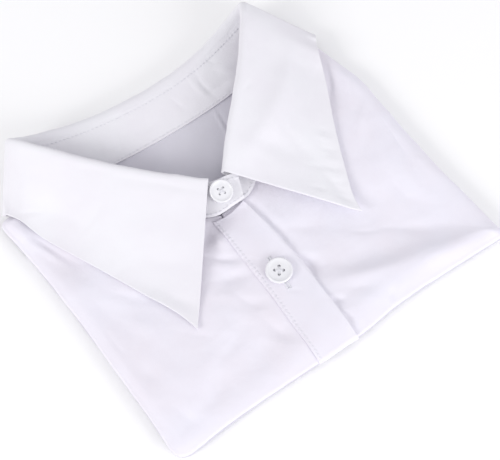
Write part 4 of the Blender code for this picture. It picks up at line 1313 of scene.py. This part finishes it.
def build_stand(material, thread):
    """The stand with a row of stitches along both of its edges."""
    rows, normal = stand_rows()
    thing = cloth_grid("collar_stand_cloth", rows, STAND_CLOTH, material,
                       "collar_stand", COLLAR_ROUNDING)
    runs = []
    for from_last in (False, True):
        line = line_at(rows, EDGE_STITCH if from_last else BAND_STITCH, from_last)
        column = normal[:, -3 if from_last else 2]
        runs += [stitch_row(line, column * sign, STAND_CLOTH) for sign in (-1.0, 1.0)]
    thread_piece("stand_stitches", runs, thread)
    return thing, rows, normal


def button_profile(rim):
    """Half outline of a button, from the middle of its dish down to its back."""
    top = BUTTON_THICK
    rows = np.array((
        (0.0, DISH * top),
        (0.40 * rim, DISH * top),
        (0.70 * rim, 0.81 * top),
        (0.79 * rim, 0.88 * top),
        (0.87 * rim, top),
        (0.95 * rim, 0.95 * top),
        (rim, 0.70 * top),
        (0.97 * rim, 0.30 * top),
        (0.84 * rim, 0.0),
    ))
    along = lengths(rows)
    curve = smooth(rows, along, np.linspace(0.0, along[-1], BUTTON_POINTS))
    return np.concatenate((curve, ((0.0, 0.0),)))


def drill_for(name, spots, radius):
    """The bars that cut a button's holes."""
    bars = bmesh.new()
    for spot in spots:
        at = (spot + Vector((0.0, 0.0, BUTTON_THICK / 2))) * MM
        bmesh.ops.create_cone(bars, cap_ends=True, segments=HOLE_SEGMENTS, radius1=radius * MM,
                              radius2=radius * MM, depth=3 * BUTTON_THICK * MM,
                              matrix=Matrix.Translation(at))
    mesh = bpy.data.meshes.new(name)
    bars.to_mesh(mesh)
    bars.free()
    return add_object(name, mesh)


def build_button(name, node, place, base, tilt, turn, radius, hole_share, material, thread):
    """A turned button with four holes, its thread and the shank that holds it."""
    points = [(MM * r, 0.0, MM * z) for r, z in button_profile(radius)]
    mesh = bpy.data.meshes.new(name)
    mesh.from_pydata(points, [(i, i + 1) for i in range(len(points) - 1)], [])
    thing = new_piece(name, mesh, material, (node,))
    turned = thing.modifiers.new("Turned", "SCREW")
    turned.axis = "Z"
    turned.steps = BUTTON_STEPS
    turned.render_steps = BUTTON_STEPS
    turned.use_merge_vertices = True
    turned.merge_threshold = 0.00001
    turned.use_smooth_shade = True
    spots = []
    for quarter in range(4):
        angle = math.radians(45.0 + turn + 90.0 * quarter)
        reach = radius * HOLE_SPACING / math.sqrt(2.0)
        spots.append(Vector((reach * math.cos(angle), reach * math.sin(angle), 0.0)))
    drill = drill_for(name + "_holes", spots, radius * hole_share)
    cut = thing.modifiers.new("Holes", "BOOLEAN")
    cut.operation = "DIFFERENCE"
    cut.object = drill
    graph = bpy.context.evaluated_depsgraph_get()
    solid = bpy.data.meshes.new_from_object(thing.evaluated_get(graph))
    thing.modifiers.clear()
    thing.data = solid
    thing.data.set_sharp_from_angle(angle=math.radians(42.0))
    bpy.data.objects.remove(drill, do_unlink=True)
    bpy.data.meshes.remove(mesh)
    placed = Matrix.Translation((*place, base)) @ Matrix.Rotation(math.radians(tilt), 4, "X")
    scaled = Matrix.Translation(to_frame([(0.0, 0.0, 0.0)])[0]) @ Matrix.Scale(MM, 4)
    solid.transform(scaled @ placed @ Matrix.Scale(1.0 / MM, 4))
    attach(thing, "root")
    up = np.array((0.0, 0.0, 1.0))
    runs = []
    for one, other in ((0, 2), (1, 3)):
        start, end = np.array(spots[one]), np.array(spots[other])
        ahead = unit(end - start)
        side = np.cross(up, ahead)
        for shift in THREAD_SHIFTS:
            middle = (start + end) / 2 + side * shift + up * (DISH * BUTTON_THICK + 0.02)
            span = np.linalg.norm(end - start) + THREAD_PAST
            runs.append(stitch_shape(middle, ahead, side, up, span, THREAD_WIDTH))
    angles = np.linspace(0.0, 2 * math.pi, SHANK_POINTS)
    for level in SHANK_LEVELS:
        ring = SHANK_RADIUS * np.column_stack((np.cos(angles), np.sin(angles), 0 * angles))
        ring[:, 2] = level
        runs.append(stitch_run(ring, np.repeat(up[None], SHANK_POINTS, axis=0), *SHANK_STITCH))
    points, faces = joined(runs)
    thread_piece(name + "_thread", [([np.array(placed @ Vector(p)) for p in points], faces)], thread)


def shader_of(name):
    """A new material, its node tree and its Principled shader."""
    material = bpy.data.materials.new(name)
    material.use_nodes = True
    return material, material.node_tree, material.node_tree.nodes["Principled BSDF"]


def set_inputs(node, **values):
    """Sets a node's inputs, whose names have low lines for spaces."""
    for name, value in values.items():
        node.inputs[name.replace("_", " ")].default_value = value


def noise_node(tree, scale, detail):
    """A noise texture on the object's own coordinates."""
    place = tree.nodes.new("ShaderNodeTexCoord")
    node = tree.nodes.new("ShaderNodeTexNoise")
    set_inputs(node, Scale=scale, Detail=detail)
    tree.links.new(place.outputs["Object"], node.inputs["Vector"])
    return node


def bump_node(tree, height, distance, strength, before=None):
    """A bump from a height output, on top of another bump."""
    node = tree.nodes.new("ShaderNodeBump")
    set_inputs(node, Distance=distance, Strength=strength)
    tree.links.new(height, node.inputs["Height"])
    if before is not None:
        tree.links.new(before.outputs["Normal"], node.inputs["Normal"])
    return node


def coloured(tree, shader, cloud, shade, light, start=0.0, end=1.0):
    """The shader's colour, from shade to light by a noise."""
    ramp = tree.nodes.new("ShaderNodeValToRGB")
    for element, place, colour in zip(ramp.color_ramp.elements, (start, end), (shade, light)):
        element.position = place
        element.color = (*colour, 1.0)
    tree.links.new(cloud.outputs["Fac"], ramp.inputs["Fac"])
    tree.links.new(ramp.outputs["Color"], shader.inputs["Base Color"])


def cotton(name, light, shade, weave_strength):
    """Plain-woven cotton: threads both ways along the cut, slubs and a soft nap."""
    material, tree, shader = shader_of(name)
    place = tree.nodes.new("ShaderNodeTexCoord")
    bands = []
    for direction in ("X", "Y"):
        wave = tree.nodes.new("ShaderNodeTexWave")
        wave.bands_direction = direction
        scale = 2 * math.pi / 20.0 / (WEAVE_PITCH * MM)
        set_inputs(wave, Scale=scale, Distortion=1.2, Detail=1.0, Detail_Scale=0.06)
        tree.links.new(place.outputs["UV"], wave.inputs["Vector"])
        bands.append(wave)
    both = tree.nodes.new("ShaderNodeMath")
    both.operation = "ADD"
    tree.links.new(bands[0].outputs["Fac"], both.inputs[0])
    tree.links.new(bands[1].outputs["Fac"], both.inputs[1])
    weave = bump_node(tree, both.outputs[0], 0.00006, weave_strength)
    slub = noise_node(tree, 900.0, 3.0)
    uneven = bump_node(tree, slub.outputs["Fac"], 0.00007, 0.25, weave)
    soft = noise_node(tree, 160.0, 2.0)
    drawn = bump_node(tree, soft.outputs["Fac"], 0.0004, 0.22, uneven)
    tree.links.new(drawn.outputs["Normal"], shader.inputs["Normal"])
    coloured(tree, shader, noise_node(tree, 28.0, 4.0), shade, light, 0.3, 0.68)
    set_inputs(shader, Roughness=0.82, Specular_IOR_Level=0.25, Sheen_Weight=0.18, Sheen_Roughness=0.5)
    return material


def sewing_thread():
    """Twisted white cotton thread."""
    material, tree, shader = shader_of("sewing_thread")
    twist = noise_node(tree, 2600.0, 1.0)
    bump = bump_node(tree, twist.outputs["Fac"], 0.00005, 0.5)
    tree.links.new(bump.outputs["Normal"], shader.inputs["Normal"])
    set_inputs(shader, Base_Color=(0.80, 0.80, 0.84, 1.0), Roughness=0.6, Sheen_Weight=0.1)
    return material


def button_plastic():
    """Polished white plastic with faint clouds, as pressed resin has."""
    material, tree, shader = shader_of("button_white")
    coloured(tree, shader, noise_node(tree, 240.0, 3.0), (0.77, 0.77, 0.80), (0.86, 0.86, 0.88))
    scratch = noise_node(tree, 1500.0, 2.0)
    bump = bump_node(tree, scratch.outputs["Fac"], 0.00002, 0.15)
    tree.links.new(bump.outputs["Normal"], shader.inputs["Normal"])
    set_inputs(shader, Roughness=0.22, Coat_Weight=0.3)
    return material


def build_stage():
    """A plain pale floor, just below the garment."""
    mesh = bpy.data.meshes.new("floor")
    half, level = FLOOR_HALF, FLOOR_LEVEL
    corners = [(-half, -half, level), (half, -half, level), (half, half, level), (-half, half, level)]
    mesh.from_pydata(corners, [], [(0, 1, 2, 3)])
    floor = add_object("floor", mesh)
    material, _, shader = shader_of("floor_paper")
    set_inputs(shader, Base_Color=(0.965, 0.965, 0.965, 1.0), Roughness=0.9)
    floor.data.materials.append(material)


def aimed(thing, away, distance):
    """Places a lamp or camera at a distance from the target, looking at it."""
    thing.location = Vector(TARGET) + away * distance
    thing.rotation_mode = "QUATERNION"
    thing.rotation_quaternion = away.to_track_quat("Z", "Y")


def build_light():
    """Soft light, most of it from the picture's lower left, and pale surroundings."""
    turn = math.radians(AZIMUTH)
    right = Vector((math.cos(turn), math.sin(turn), 0.0))
    ahead = Vector((-math.sin(turn), math.cos(turn), 0.0))
    up = Vector((0.0, 0.0, 1.0))
    for name, to_right, to_top, upwards, distance, size, power, colour in LAMPS:
        lamp = bpy.data.lights.new(name, "AREA")
        lamp.shape = "SQUARE"
        lamp.size = size
        lamp.energy = power
        lamp.color = colour
        direction = right * to_right + ahead * to_top + up * upwards
        aimed(add_object(name, lamp), direction.normalized(), distance)
    world = bpy.context.scene.world or bpy.data.worlds.new("surroundings")
    bpy.context.scene.world = world
    world.use_nodes = True
    set_inputs(world.node_tree.nodes["Background"], Color=(0.965, 0.965, 1.0, 1.0), Strength=0.71)


def build_camera():
    """The photograph's view."""
    turn = math.radians(AZIMUTH)
    lift = math.radians(ELEVATION)
    camera = bpy.data.cameras.new("camera")
    camera.lens = LENS
    camera.sensor_width = SENSOR
    camera.clip_start = 0.01
    camera.clip_end = 20.0
    thing = add_object("camera", camera)
    back = Vector((math.sin(turn) * math.cos(lift), -math.cos(turn) * math.cos(lift), math.sin(lift)))
    aimed(thing, back, DISTANCE)
    bpy.context.scene.camera = thing
    bpy.context.scene.view_settings.view_transform = "Standard"


outline = Outline()
front_cotton = cotton("front_cotton_weave", (0.832, 0.816, 0.892), (0.816, 0.781, 0.846), 0.35)
collar_cotton = cotton("collar_cotton_weave", (0.842, 0.838, 0.872), (0.822, 0.803, 0.848), 0.3)
# The back's cotton is painted darker than the same cloth of the fronts and collar: painted shade for the
# inside of the neck, used also on the folded layers below.
back_cotton_painted_shade = cotton("back_cotton_weave_painted_shade", (0.70, 0.69, 0.75), (0.67, 0.65, 0.715), 0.35)
thread = sewing_thread()
plastic = button_plastic()

# The wearer's right front is on the picture's left.
layers = build_layers(outline, back_cotton_painted_shade)
right_front = build_front("front_right_cloth", "front_right", outline, "left", front_cotton)
left_front = build_front("front_left_cloth", "front_left", outline, "right", front_cotton)
placket, placket_grid, placket_up = build_placket(outline, front_cotton, thread)
back = build_back(back_cotton_painted_shade)
leaf = cloth_grid("collar_leaf_cloth", leaf_rows(), LEAF_CLOTH, collar_cotton,
                  "collar_leaf", COLLAR_ROUNDING)
stand, stand_grid, stand_up = build_stand(collar_cotton, thread)

buttonhole("placket_buttonhole", placket_grid, placket_up, *SECOND_HOLE, PLACKET_CLOTH, thread)
buttonhole("stand_buttonhole", stand_grid[:FRONT_END], stand_up[:FRONT_END], *TOP_HOLE, STAND_CLOTH, thread)
top_base = BAND_MIDDLE + STAND_CLOTH / 2 + TOP_SPACE
build_button("button_top_plastic", "button_top", TOP_BUTTON, top_base, BAND_TILT, TOP_TURN,
             TOP_BUTTON_RADIUS, TOP_HOLES, plastic, thread)
point, _ = surface_at(placket_grid, placket_up, *SECOND_BUTTON)
second_base = float(point[2]) + PLACKET_CLOTH / 2 + SECOND_SPACE
build_button("button_second_plastic", "button_second", SECOND_BUTTON, second_base, 0.0, SECOND_TURN,
             SECOND_BUTTON_RADIUS, SECOND_HOLES, plastic, thread)

build_stage()
build_light()
build_camera()
